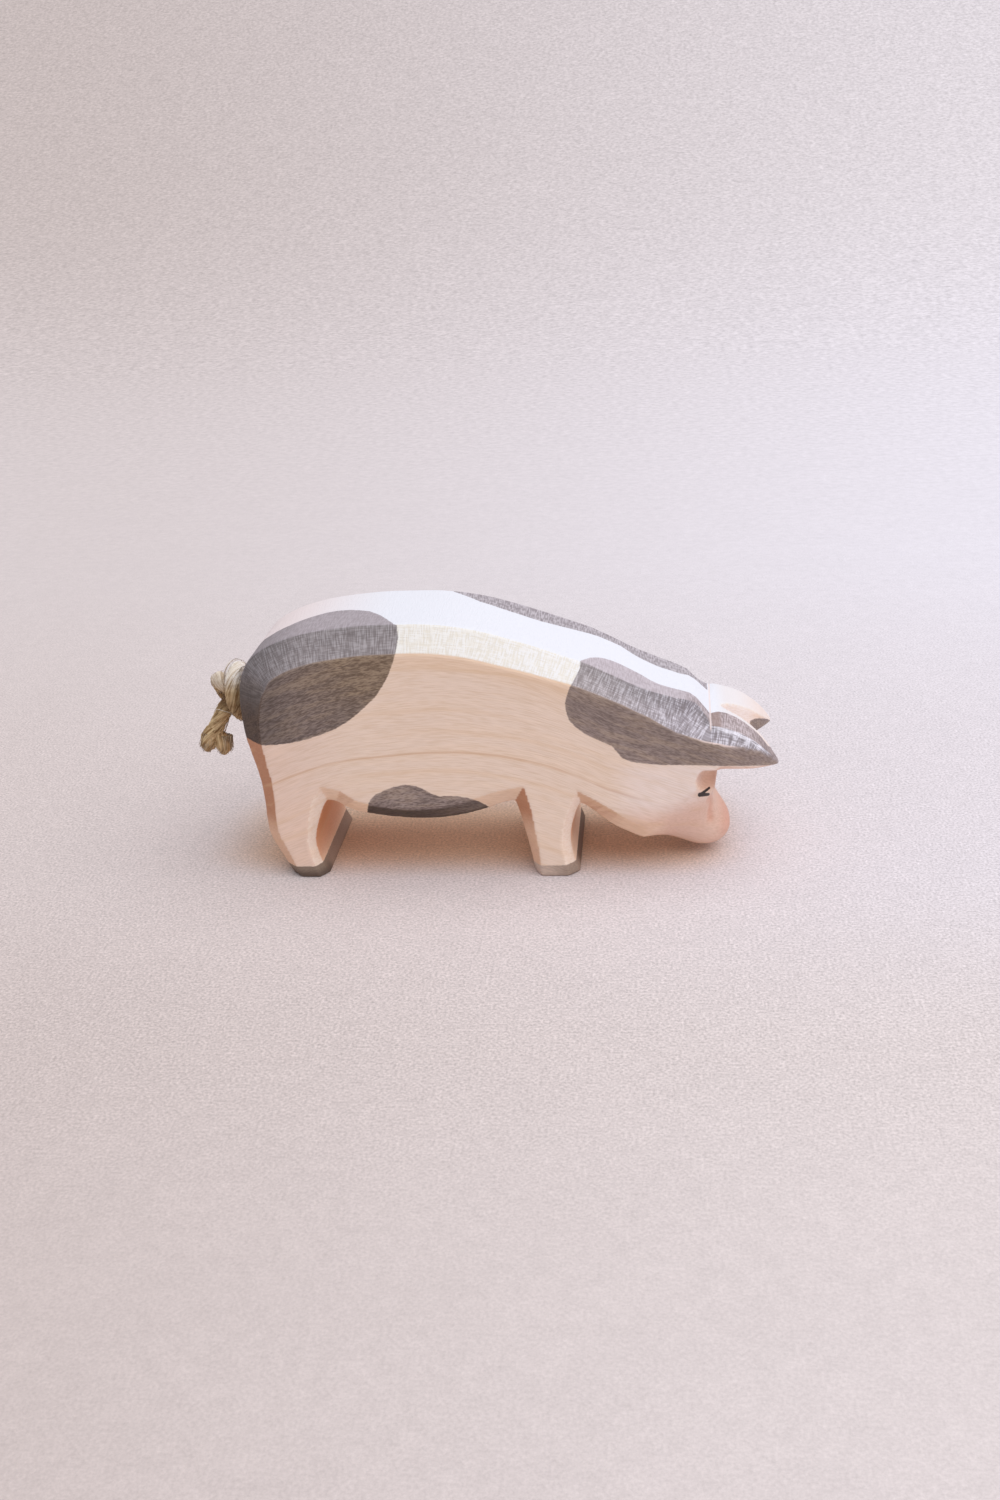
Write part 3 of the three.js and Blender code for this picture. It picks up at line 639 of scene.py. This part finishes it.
def wood_tones(points, normals, off):
    """The bare wood's colour: beige flanks and a pinker rump and face, with painted light and shade: tan
    under the edges, pale leg fronts, orange between the legs and darker hollows.
    """
    x, y, z = points.T
    side, up, ahead = np.abs(normals[:, 1]), normals[:, 2], normals[:, 0]
    face = smooth(x, 29, 36)
    under = fade(up, -0.45, 0.12) * fade(side, 0.8, 0.96) * fade(z, 25, 31) * (1 - face)
    front = smooth(ahead, 0.25, 0.55) * fade(z, 19, 25) * (1 - face)
    between_legs = front * fade(side, 0.25, 0.45)
    rear_edge = fade(ahead, -0.5, -0.22) * smooth(side, 0.1, 0.3) * fade(z, 44, 50)
    eye = bell(x, 43.4, 2.6) * bell(z, 21.4, 3.2) * fade(side, 0.85, 0.97)
    ear_wall = smooth(x, 45, 47.5) * smooth(z, 24.5, 26) * fade(up, 0.3, 0.55) * fade(np.abs(y), 13, 14.2)
    tones = [
        # Along the crease of the back, the rump, the hind leg and the neck
        ((242, 210, 182), fade(off, 6.5, 10.5) * smooth(z, 24, 30) * 0.5),
        ((240, 212, 198), fade(x, -54, -30) * 0.8),
        ((244, 214, 197), fade(z, 12, 26) * fade(x, -40, -26) * 0.9),
        ((248, 229, 221), smooth(x, 20, 30) * fade(z, 25, 29)),
        # The throat, the cheek and the snout
        ((232, 186, 160), smooth(x, 20, 28) * fade(z, 12, 19) * 0.7),
        ((236, 201, 184), smooth(x, 32, 41) * fade(z, 11, 21)),
        ((218, 162, 142), smooth(x, 45, 49) * fade(z, 12, 18) * smooth(z, 3, 6) * 0.8),
        # Painted warm shade: tan on the edges that face down
        ((244, 208, 177), under * (1 - front) * 0.85),
        # Painted highlight on the legs' front edges, and painted warm shade that turns the hollow faces
        # behind them orange under the belly
        ((254, 233, 218), front * smooth(side, 0.25, 0.45)),
        ((255, 228, 206), between_legs),
        ((238, 176, 132), between_legs * smooth(z, 4, 12)),
        ((226, 154, 108), between_legs * fade(x, -20, -10) * smooth(z, 0, 6) * 0.7),
        # Painted shade on the edge behind the hind leg and in the valleys of the cheeks
        ((228, 186, 158), rear_edge * 0.9),
        ((189, 131, 99), rear_edge * smooth(z, 10, 17) * 0.9),
        ((222, 150, 120), near_line(points, CHEEK_VALLEY, 1.0) * 0.6),
        # Painted shade in the eye hollows and on the ears' underside, and the wood of the cut between them
        ((232, 197, 176), np.clip(eye * 1.1, 0, 1)),
        ((208, 154, 126), eye * smooth(x, 44, 46)),
        ((238, 202, 184), smooth(x, 43, 46) * smooth(z, 22.5, 24.5) * fade(up, -0.5, 0)),
        ((250, 236, 232), ear_wall),
        ((240, 206, 190), ear_wall * smooth(x, 52, 57) * 0.7),
    ]
    tone = np.repeat([linear(245, 221, 204)], len(points), axis=0)
    for colour, weight in tones:
        tone = tone * (1 - weight[:, None]) + np.array(linear(*colour)) * weight[:, None]
    return np.c_[tone, np.ones(len(tone))]


def upper_part(points, normals, off):
    """1 on the bevels and the flat top of the back and the ears, 0 on the flanks, face, belly and legs."""
    x, _, z = points.T
    upper = fade(off, 7.5, 8.5) * smooth(z, 29, 33) * (normals[:, 2] > -0.35)
    ears = (x > EARS_FROM) & (z > EARS_ABOVE)
    upper = np.where(ears, smooth(normals[:, 2], 0.34, 0.42) * (off < 6), upper)
    return upper * np.where(x < -46, smooth(z, 38, 46), 1)


def stain_spots(points, normals, edge):
    """How far inside each spot of stain the points are, in mm."""
    x, y, z = points.T
    flat, plan = points[:, [0, 2]], points[:, :2]
    near, top = y < 0, (np.abs(y) < edge) & (z > 28)
    behind = (normals[:, 0] < -0.6) & (x < -52) & (z < 52)
    rump_top = np.where(behind, np.minimum(-2.2 - y, z - 33.6), inside(plan, RUMP_TOP))
    rump = np.where(top, rump_top, inside(flat, RUMP_SIDE))
    head = np.where(top & (normals[:, 2] > 0.3), inside(plan, HEAD_TOP), inside(flat, HEAD_SIDE))
    cut_wall = (x > EARS_FROM) & (z > EARS_ABOVE) & (np.abs(y) < 12.4) & (normals[:, 2] < 0.38)
    far = np.where(top, inside(plan, FAR_TOP), inside(flat, FAR_SIDE))
    # The far ear's foot is partly stain and partly painted shade
    foot = np.minimum(np.interp(x, *zip(*FOOT_LINE)) - z, x - FOOT_LINE[0][0])
    return {
        "rump": np.where(near | (np.abs(y) < 6), rump, OFF_SPOT),
        "head": np.where(near & ~cut_wall, head, OFF_SPOT),
        "far": np.where(y > 0, far, OFF_SPOT),
        "belly": np.where(near & (np.abs(y) > 13.2), inside(flat, BELLY_SIDE), OFF_SPOT),
        "foot": np.where(cut_wall & (y > 0), foot, OFF_SPOT),
    }


def stain_shade(points, normals, off, spots, spot):
    """The stain's brightness: darker towards the rump's rear, with painted shade on the rump's rear face and
    the belly's lower edge, and palest on the head.
    """
    x, _, z = points.T
    side = np.abs(normals[:, 1])
    rear_edge = fade(side, 0.85, 0.97) * fade(x, -54, -50) * fade(z, 44, 50)
    shades = {
        "belly": 1.22 - 0.98 * fade(side, 0.8, 0.95),
        "head": 1.2 + 0.2 * smooth(off, 8, 16) + 0.18 * smooth(x, 43, 50),
        "rump": 0.9 - 0.3 * fade(x, -56, -42) - 0.28 * rear_edge,
        "foot": 1.2,
    }
    shade = np.ones(len(points))
    for name, own in shades.items():
        shade = np.where(spot == spots[name], own, shade)
    return shade


def add_body():
    mesh = body_mesh()
    points, edges = read(mesh.vertices, "co", 3).astype(float) / MM, read(mesh.edges, "vertices", 2, np.int32)
    flat_normals = cad_normals(points)
    points = carve(points, edges, mesh_normals(mesh))
    mesh.vertices.foreach_set("co", (points * MM).astype(np.float32).reshape(-1))
    mesh.update()
    normals = mesh_normals(mesh)
    x, y, z = points.T
    edge = strip_edge(x, z)
    place, off = along_line(points[:, [0, 2]], BACK_LINE)
    upper = upper_part(points, flat_normals, off)
    spots = stain_spots(points, flat_normals, edge)
    spot = np.maximum.reduce(list(spots.values()))
    # The ears' thin walls are finer than the mesh, so the borders there are evened out
    at_ears = 0.5 * smooth(x, 44.5, 46.5) * (z > 23)
    even_spot, even_upper = eased(np.stack([np.clip(spot, -1, 1), upper], axis=1), edges, at_ears, 3).T
    mark(mesh, "spot", even_spot)
    mark(mesh, "upper", even_upper)
    mark(mesh, "edge", np.abs(y) - edge)
    mark(mesh, "weave", np.stack([place, np.abs(y) + off, y], axis=1))
    # The body's edges stay crisp, and the face's are soft
    tone_normals = np.where((x > 31)[:, None], normals, flat_normals)
    mark(mesh, "tone", wood_tones(points, tone_normals, off))
    mark(mesh, "shade", stain_shade(points, normals, off, spots, spot))
    body = add_piece("body", mesh, stained_maple())
    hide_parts("carved_body")


# The grain's arches as heights over x: a curve up to the neck, and a straight fall from there
ARCH_HEIGHT, ARCH_SLOPE, ARCH_BEND = 29.1, -0.224, -0.00626
NECK_X, NECK_SLOPE = 22.0, -0.35
GRAIN_DRIFT = 4.0
RING_GAP = 4.8
# Each eye is two strokes on a slanting plane, from one corner: their ends, and widths at corner and end
EYE_AHEAD = (-0.1, 0.9, -0.42)
EYE_CORNER = (41.9, -15.9, 19.5)
EYE_STROKES = [((44.0, -13.3, 19.95), 0.7, 0.5), ((43.85, -13.6, 18.5), 0.95, 0.62)]
HOOF_HEIGHT = 2.8


def maple_nodes():
    """The start of the body's material: what it reads, and the noises that its parts share, kept on n."""
    n = Nodes("stained_maple")
    n.place = n.position()
    n.x, n.y, n.z = n.split(n.place)
    n.across = n.math("ABSOLUTE", n.y)
    n.edge, n.upper = n.attribute("edge"), n.attribute("upper")
    deep = n.minus(HALF_THICK, n.across)
    n.on_bevel = n.product(n.ease(deep, 0.16, 0.3), n.upper)
    n.on_strip = n.product(n.ease(n.edge, 0.16, -0.16), n.upper)
    n.crease = n.product(n.ease(deep, 0.06, 0.18), n.ease(deep, 0.42, 0.28), n.upper)
    # Noises for the bevels and the top, which lie along and across the back
    weave = n.attribute("weave", "Vector")
    n.strokes = n.noise(weave, (3.5, 0.3, 0.3), detail=0)
    n.lengthwise = n.noise(weave, (0.42, 3.7, 0.42), detail=0)
    n.mottle = n.noise(weave, (0.4, 0.4, 0.4), detail=2)
    n.hatch = n.muladd(n.strokes, 0.6, n.product(n.lengthwise, 0.4))
    # Noises for the flanks, which follow the grain
    drift = n.noise(n.place, (0.03, 0.05, 0.06), detail=1)
    n.over = n.minus(n.muladd(drift, GRAIN_DRIFT, n.minus(n.z, grain_arch(n))), GRAIN_DRIFT / 2)
    along = n.joined(n.x, n.y, n.over)
    n.hairs = n.noise(along, (0.28, 1.8, 3.9), detail=1, roughness=0.6)
    n.bands = n.noise(along, (0.018, 0.2, 0.42), detail=2, roughness=0.55)
    n.streaks = n.noise(along, (1.0, 3.0, 4.0), detail=1)
    n.broad = n.noise(along, (0.12, 0.5, 0.8), detail=2, roughness=0.55)
    n.ragged = n.noise(n.place, (1.0, 1.6, 2.8), detail=2, roughness=0.6)
    return n


def grain_arch(n):
    """The height at which the grain's main arch passes."""
    level = n.math("MINIMUM", n.x, NECK_X)
    slope = n.muladd(level, ARCH_BEND, ARCH_SLOPE)
    curve = n.muladd(slope, level, ARCH_HEIGHT)
    return n.muladd(n.minus(n.x, level), NECK_SLOPE, curve)


def flank_wood(n):
    """Wood with fine hairs, broader bands, one clear growth line and fainter ones above and below it."""
    cloud = n.noise(n.place, 0.06, detail=2)
    line = n.product(
        n.ease(n.math("ABSOLUTE", n.over), 0.34, 0.1),
        n.ease(cloud, 0.36, 0.46, 0.4, 1.0),
        n.ease(n.x, 24, 32, 1.0, 0.1),
    )
    ring = n.math("FLOORED_MODULO", n.math("ADD", n.over, RING_GAP / 2), RING_GAP)
    ring = n.math("ABSOLUTE", n.minus(ring, RING_GAP / 2))
    ring = n.product(n.ease(ring, 0.9, 0.1), n.ease(n.bands, 0.42, 0.6))
    shade = n.product(n.around(n.hairs, 0.25), n.around(n.bands, 0.05), n.around(cloud, 0.05))
    wood = n.scaled(n.attribute("tone", "Color"), shade)
    warm = n.vector("MULTIPLY", wood, (0.985, 0.93, 0.84))
    dark_hairs = n.product(n.ease(n.hairs, 0.54, 0.32), 0.5)
    wood = n.mix(n.muladd(n.ease(n.bands, 0.44, 0.68), 0.25, dark_hairs), wood, warm)
    wood = n.mix(n.product(line, 0.4), wood, (206, 158, 124))
    return n.mix(n.product(ring, 0.22), wood, (228, 190, 150))


def bare_wood(n):
    """Bare flanks, and pale cream bevels with a fine crossing of grain and plane marks and a white top, both
    partly paler wood and partly painted bright light from above.
    """
    # The cream bevels and the white top are partly the wood's paler colour and partly painted bright light
    # from above
    crossing = n.ease(n.hatch, 0.38, 0.6)
    rear_cream = n.mix(crossing, (236, 230, 221), (247, 245, 243))
    front_cream = n.mix(crossing, (238, 233, 226), (248, 247, 250))
    cream = n.mix(n.ease(n.x, -22, 16), rear_cream, front_cream)
    cream = n.mix(n.product(n.ease(n.mottle, 0.45, 0.65), 0.35), cream, (242, 235, 223))
    strip = n.mix(n.ease(n.x, -52, -24), (240, 226, 228), (238, 239, 249))
    strip = n.scaled(strip, n.around(n.hatch, 0.04))
    ear_white = n.mix(n.ease(n.x, 50, 58), (238, 232, 236), (240, 222, 216))
    strip = n.mix(n.ease(n.x, 45, 49), strip, ear_white)
    bare = n.mix(n.on_bevel, flank_wood(n), cream)
    bare = n.mix(n.on_strip, bare, strip)
    # The crease between flank and bevel is a little warmer
    return n.mix(n.product(n.crease, 0.4), bare, (236, 200, 168))


def flank_stain(n):
    """Grey to olive brown with short streaks along the grain, calmer on the head."""
    grain = n.muladd(n.streaks, 0.66, n.product(n.broad, 0.34))
    contrast = n.ease(n.x, 0, 14, 1.0, 0.6)
    grain = n.muladd(n.minus(grain, 0.5), contrast, 0.5)
    grey = n.mix(n.ease(grain, 0.34, 0.66), (102, 87, 83), (152, 136, 131))
    olive = n.mix(n.ease(grain, 0.34, 0.66), (114, 93, 76), (168, 146, 124))
    # The rump's stain is browner above and in front; the rest is greyer
    browner = n.product(n.ease(n.x, -54, -26), n.ease(n.x, 4, -6), n.ease(n.z, 34, 50))
    browner = n.muladd(n.ease(n.broad, 0.4, 0.65), 0.35, browner, clamp=True)
    return n.mix(browner, grey, olive)


def bevel_stain(n):
    """Blue grey with fine strokes, paler towards the crease, and with painted white glints on the head."""
    front = n.ease(n.x, 14, 44)
    dark = n.mix(front, (126, 117, 120), (116, 107, 113))
    light = n.mix(front, (170, 162, 166), (171, 164, 175))
    stain = n.mix(n.ease(n.hatch, 0.24, 0.76), dark, light)
    gain, least = n.ease(n.x, 10, 30, 0.16, 0.34), n.ease(n.x, 10, 30, 0.91, 0.78)
    shade = n.muladd(n.ease(n.edge, 0.4, 3.6), gain, least)
    stain = n.scaled(stain, n.product(shade, n.around(n.mottle, 0.35)))
    # Painted glints: white flecks on the head's bevel
    painted_glints = n.product(n.ease(n.strokes, 0.5, 0.64), n.ease(n.lengthwise, 0.38, 0.52))
    strength = n.muladd(front, n.ease(n.x, 40, 46, 0.22, 0.2), 0.1)
    return n.mix(n.product(painted_glints, strength), stain, (234, 232, 242))


def strip_stain(n):
    """Pale grey on the near side of the top, darker on the ear, and a coarser weave on the far side."""
    crossing = n.ease(n.hatch, 0.36, 0.64)
    stain = n.mix(crossing, (168, 157, 164), (187, 177, 185))
    ear = n.mix(crossing, (130, 115, 116), (178, 165, 170))
    tip = n.mix(crossing, (112, 98, 98), (146, 131, 132))
    ear = n.mix(n.ease(n.x, 51, 57), ear, tip)
    corner = n.product(n.ease(n.x, 47.4, 46.0), n.ease(n.x, 44.4, 44.8))
    ear = n.mix(n.product(corner, 0.7), ear, (140, 116, 110))
    stain = n.mix(n.ease(n.x, 37, 44), stain, ear)
    far = n.mix(n.ease(n.hatch, 0.38, 0.62), (146, 136, 143), (196, 188, 196))
    return n.mix(n.ease(n.y, -1, 1), stain, far)


def stained_wood(n):
    """The spots of stain, which look different on the flanks, the bevels and the top."""
    stain = n.mix(n.on_bevel, flank_stain(n), bevel_stain(n))
    stain = n.mix(n.on_strip, stain, strip_stain(n))
    # Wear lightens the sharp edges of the ears and of the head's bevel
    ridge = n.ease(n.math("ABSOLUTE", n.math("ADD", n.edge, -0.45)), 0.7, 0.15)
    ridge = n.product(ridge, n.ease(n.x, 43, 47), n.upper, n.ease(n.lengthwise, 0.3, 0.5))
    stain = n.mix(n.product(ridge, n.ease(n.x, 58, 53), 0.6), stain, (226, 223, 234))
    low_ridge = n.product(n.crease, n.muladd(n.ease(n.x, 38, 46), 0.75, 0.1))
    stain = n.mix(low_ridge, stain, (230, 208, 202))
    # The darkest stain is also the brownest, which warms the painted shade as well
    shade = n.attribute("shade")
    stain = n.scaled(stain, shade)
    browner = n.vector("MULTIPLY", stain, (1.04, 0.93, 0.84))
    return n.mix(n.ease(shade, 0.62, 0.36), stain, browner)


def hooves(n):
    """The hooves' stain, with painted light and shade by leg and side: darker towards the floor on the near
    hind hoof, lighter on the far hind hoof, pink to grey brown from back to front on the near fore hoof, and
    dark on the far fore hoof.
    """
    behind = n.ease(n.y, -13, -9)
    rear = n.mix(n.ease(n.z, 0.6, 2.4), (88, 70, 60), (132, 114, 100))
    rear = n.mix(behind, rear, (150, 124, 108))
    fore = n.mix(n.ease(n.x, 6, 14), (205, 182, 168), (158, 136, 122))
    fore = n.mix(behind, fore, (104, 80, 66))
    stain = n.mix(n.ease(n.x, -10, 4), rear, fore)
    return n.scaled(stain, n.around(n.streaks, 0.7))


def eye_ink(n):
    """1 on the pen strokes of the eyes, which are the same on both sides."""
    ahead = np.array(EYE_AHEAD) / np.linalg.norm(EYE_AHEAD)
    right = np.array([1.0, 0.0, 0.0]) - ahead[0] * ahead
    right /= np.linalg.norm(right)
    plane = np.array([right, np.cross(right, ahead)])
    near = n.joined(n.x, n.product(n.across, -1.0), n.z)
    u, v = (n.vector("DOT_PRODUCT", near, tuple(axis.tolist())) for axis in plane)
    on_plane, corner = n.joined(u, v, 0.0), plane @ EYE_CORNER
    first, second = (pen_stroke(n, on_plane, corner, plane @ end, *widths) for end, *widths in EYE_STROKES)
    ink = n.minus(n.math("MAXIMUM", first, second), 0.07)
    ink = n.muladd(n.noise(n.place, 4.0, detail=1), 0.14, ink)
    return n.product(n.ease(ink, -0.06, 0.06), n.ease(n.across, 9, 10), n.ease(n.x, 38, 39))


def pen_stroke(n, point, start, end, wide, narrow):
    """How far inside one tapering stroke a point of the plane is, in mm."""
    (ax, ay), (dx, dy) = start.tolist(), (end - start).tolist()
    away = n.vector("SUBTRACT", point, (ax, ay, 0.0))
    part = n.vector("DOT_PRODUCT", away, (dx, dy, 0.0))
    part = n.math("DIVIDE", part, dx**2 + dy**2, clamp=True)
    far = n.vector("LENGTH", n.vector("SUBTRACT", away, n.scaled((dx, dy, 0.0), part)))
    half = n.muladd(part, (narrow - wide) / 2, wide / 2)
    return n.minus(half, far)


def stained_maple():
    """The body's material: bare wood, the white back, partly painted bright light from above, the spots of
    stain, the hooves and the eyes.
    """
    n = maple_nodes()
    limit = n.minus(n.attribute("spot"), 0.21)
    stained = n.ease(n.muladd(n.ragged, 0.42, limit), -0.15, 0.15)
    colour = n.mix(n.product(stained, 0.97), bare_wood(n), stained_wood(n))
    # The knife left a pale line across the head behind the ears
    knife = n.minus(n.x, n.muladd(n.y, 0.02, 44.56))
    knife = n.ease(n.math("ABSOLUTE", knife), 0.26, 0.12)
    knife = n.product(knife, n.upper, n.ease(n.z, 33.6, 34.3))
    colour = n.mix(n.product(knife, 0.75), colour, (240, 222, 220))
    # Hooves are stained up to a low line all round
    height = n.muladd(n.ragged, 0.4, n.minus(n.z, 0.2))
    hoof = n.product(n.ease(height, HOOF_HEIGHT + 0.1, HOOF_HEIGHT - 0.1), n.ease(n.x, 20, 18))
    colour = n.mix(n.product(hoof, 0.95), colour, hooves(n))
    colour = n.mix(n.product(eye_ink(n), 0.97), colour, (34, 27, 30))
    rough = n.muladd(n.hairs, 0.12, 0.5)
    flank_height = n.muladd(n.hairs, 0.6, n.product(n.bands, 0.4))
    height = n.mix(n.on_bevel, flank_height, n.product(n.hatch, 1.4), "FLOAT")
    return n.finish({"Base Color": colour, "Roughness": rough, "Specular IOR Level": 0.35}, height, 0.09)


def add_glue():
    """The bead of glue in the bottom of the tail's hole keeps its CAD shape."""
    n = Nodes("dried_glue")
    clouds = n.noise(n.position(), 1.4, detail=3)
    colour = n.mix(n.ease(clouds, 0.3, 0.7), (214, 190, 136), (238, 222, 182))
    material = n.finish({"Base Color": colour, "Roughness": 0.35, "Subsurface Weight": 0.2}, clouds, 0.1)
    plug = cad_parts["glue_plug"]
    for slot in plug.material_slots:
        slot.material = material


# The set: pale speckled paper and plain soft light
CAMERA_AWAY = 390.0  # mm from the animal's middle, roughly
# Zones of the paper from near to far: where each begins and is full, how far aside its left and right colours
# are, as a share of the distance, and those colours
PAPER_ZONES = [
    (None, None, 0.42, (205, 192, 190), (224, 214, 215)),
    (-90, -10, 0.42, (211, 199, 198), (228, 221, 228)),
    (10, 260, 0.36, (214, 204, 205), (234, 230, 240)),
    (300, 1500, 0.4, (198, 186, 184), (227, 221, 227)),
]
# The painted shadow on the paper: its sides, and how fast the light of the wood fades beyond each
SHADOW_X = (-50.0, 0.75, 36.0, 1.1)
SHADOW_Y = (-3.0, 1.35, 14.0, 0.8)
SHADOW_FADE = 21
PAPER_REACH, FLAT_TO, SWEEP_RADIUS, SWEEP_ANGLE, SWEEP_STEPS, SLOPE_REACH = 9000, 700, 2500, 26, 80, 6000


def add_floor():
    n = Nodes("pale_paper")
    place = n.position()
    x, y, _ = n.split(place)
    # Painted light: the paper darkens towards the left, over a width that grows with the distance
    aslant = n.math("DIVIDE", x, n.math("MAXIMUM", n.math("ADD", y, CAMERA_AWAY), 200.0))
    paper = None
    for begins, full, aside, left, right in PAPER_ZONES:
        zone = n.mix(n.ease(aslant, -aside, aside), left, right)
        paper = n.mix(n.ease(y, begins, full), paper, zone) if paper else zone
    grains = n.noise(place, 1.7, detail=2, roughness=0.7)
    clumps = n.noise(place, 0.4, detail=2, roughness=0.6)
    fibres = n.noise(place, 0.25, detail=2, roughness=0.65)
    blotches = n.noise(place, 0.05, detail=2)
    close = n.product(n.ease(y, 260, 40), n.ease(y, -150, -70))
    speckle = n.around_by(grains, n.muladd(close, 0.8, 0.4))
    distant = n.around_by(fibres, n.ease(y, 200, 900, 0.12, 0.8))
    paper = n.scaled(paper, n.product(n.around(clumps, 0.12), n.around(blotches, 0.05), speckle, distant))

    def beyond(value, low, low_rate, high, high_rate):
        """How far a value is below low or above high, each at its own rate."""
        below = n.product(n.minus(low, value), low_rate)
        above = n.product(n.minus(value, high), high_rate)
        return n.math("MAXIMUM", n.math("MAXIMUM", below, above), 0.0)

    # Painted shadow: the paper turns darker and warmer near the animal, for the warm light that the wood
    # throws into its own shadow
    aside, across = beyond(x, *SHADOW_X), beyond(y, *SHADOW_Y)
    reach = n.math("SQRT", n.muladd(aside, aside, n.product(across, across)))
    paper = n.mix(n.ease(reach, SHADOW_FADE, 0), paper, n.vector("MULTIPLY", paper, (1.03, 0.84, 0.62)))
    material = n.finish({"Base Color": paper, "Roughness": 0.9, "Specular IOR Level": 0.1})
    # Flat under the animal and far in front of it; far behind it the paper sweeps gently up
    bends = np.radians(np.linspace(0, SWEEP_ANGLE, SWEEP_STEPS))
    profile = [(FLAT_TO + SWEEP_RADIUS * math.sin(a), SWEEP_RADIUS * (1 - math.cos(a))) for a in bends]
    end, height = profile[-1]
    profile = [(-PAPER_REACH, 0), *profile, (end + SLOPE_REACH, height + SLOPE_REACH * math.tan(bends[-1]))]
    points = [(side, far, up) for far, up in profile for side in (-PAPER_REACH, PAPER_REACH)]
    faces = [(2 * i, 2 * i + 1, 2 * i + 3, 2 * i + 2) for i in range(len(profile) - 1)]
    floor = add_piece("floor", new_mesh("floor", points, faces), material, body=None)


SUN_STRENGTH, SUN_WIDTH, SUN_FROM, SUN_COLOUR = 1.75, 75, (0.42, -0.18, 1.0), (1.0, 0.985, 0.965)
SKY_STRENGTH, SKY_COLOUR = 0.55, (0.96, 0.97, 1.0)


def add_lights():
    sun = bpy.data.lights.new("soft_key", "SUN")
    sun.energy, sun.angle, sun.color = SUN_STRENGTH, math.radians(SUN_WIDTH), SUN_COLOUR
    lamp = bpy.data.objects.new("soft_key", sun)
    lamp.rotation_euler = Vector(SUN_FROM).to_track_quat("Z", "Y").to_euler()
    bpy.context.scene.collection.objects.link(lamp)
    n = Nodes("studio", bpy.data.worlds)
    light = n.add("ShaderNodeBackground", {"Strength": SKY_STRENGTH})
    light.inputs["Color"].default_value = (*SKY_COLOUR, 1)
    # Seen directly, the world has the paper's own colour
    seen = n.add("ShaderNodeBackground", {"Color": (215, 206, 209)})
    directly = n.add("ShaderNodeLightPath").outputs["Is Camera Ray"]
    both = n.add("ShaderNodeMixShader", {0: directly, 1: light.outputs[0], 2: seen.outputs[0]})
    n.add("ShaderNodeOutputWorld", {"Surface": both.outputs[0]})
    bpy.context.scene.world = n.owner


add_camera()
add_tail()
add_body()
add_glue()
add_floor()
add_lights()
bpy.context.scene.view_settings.view_transform = "Standard"
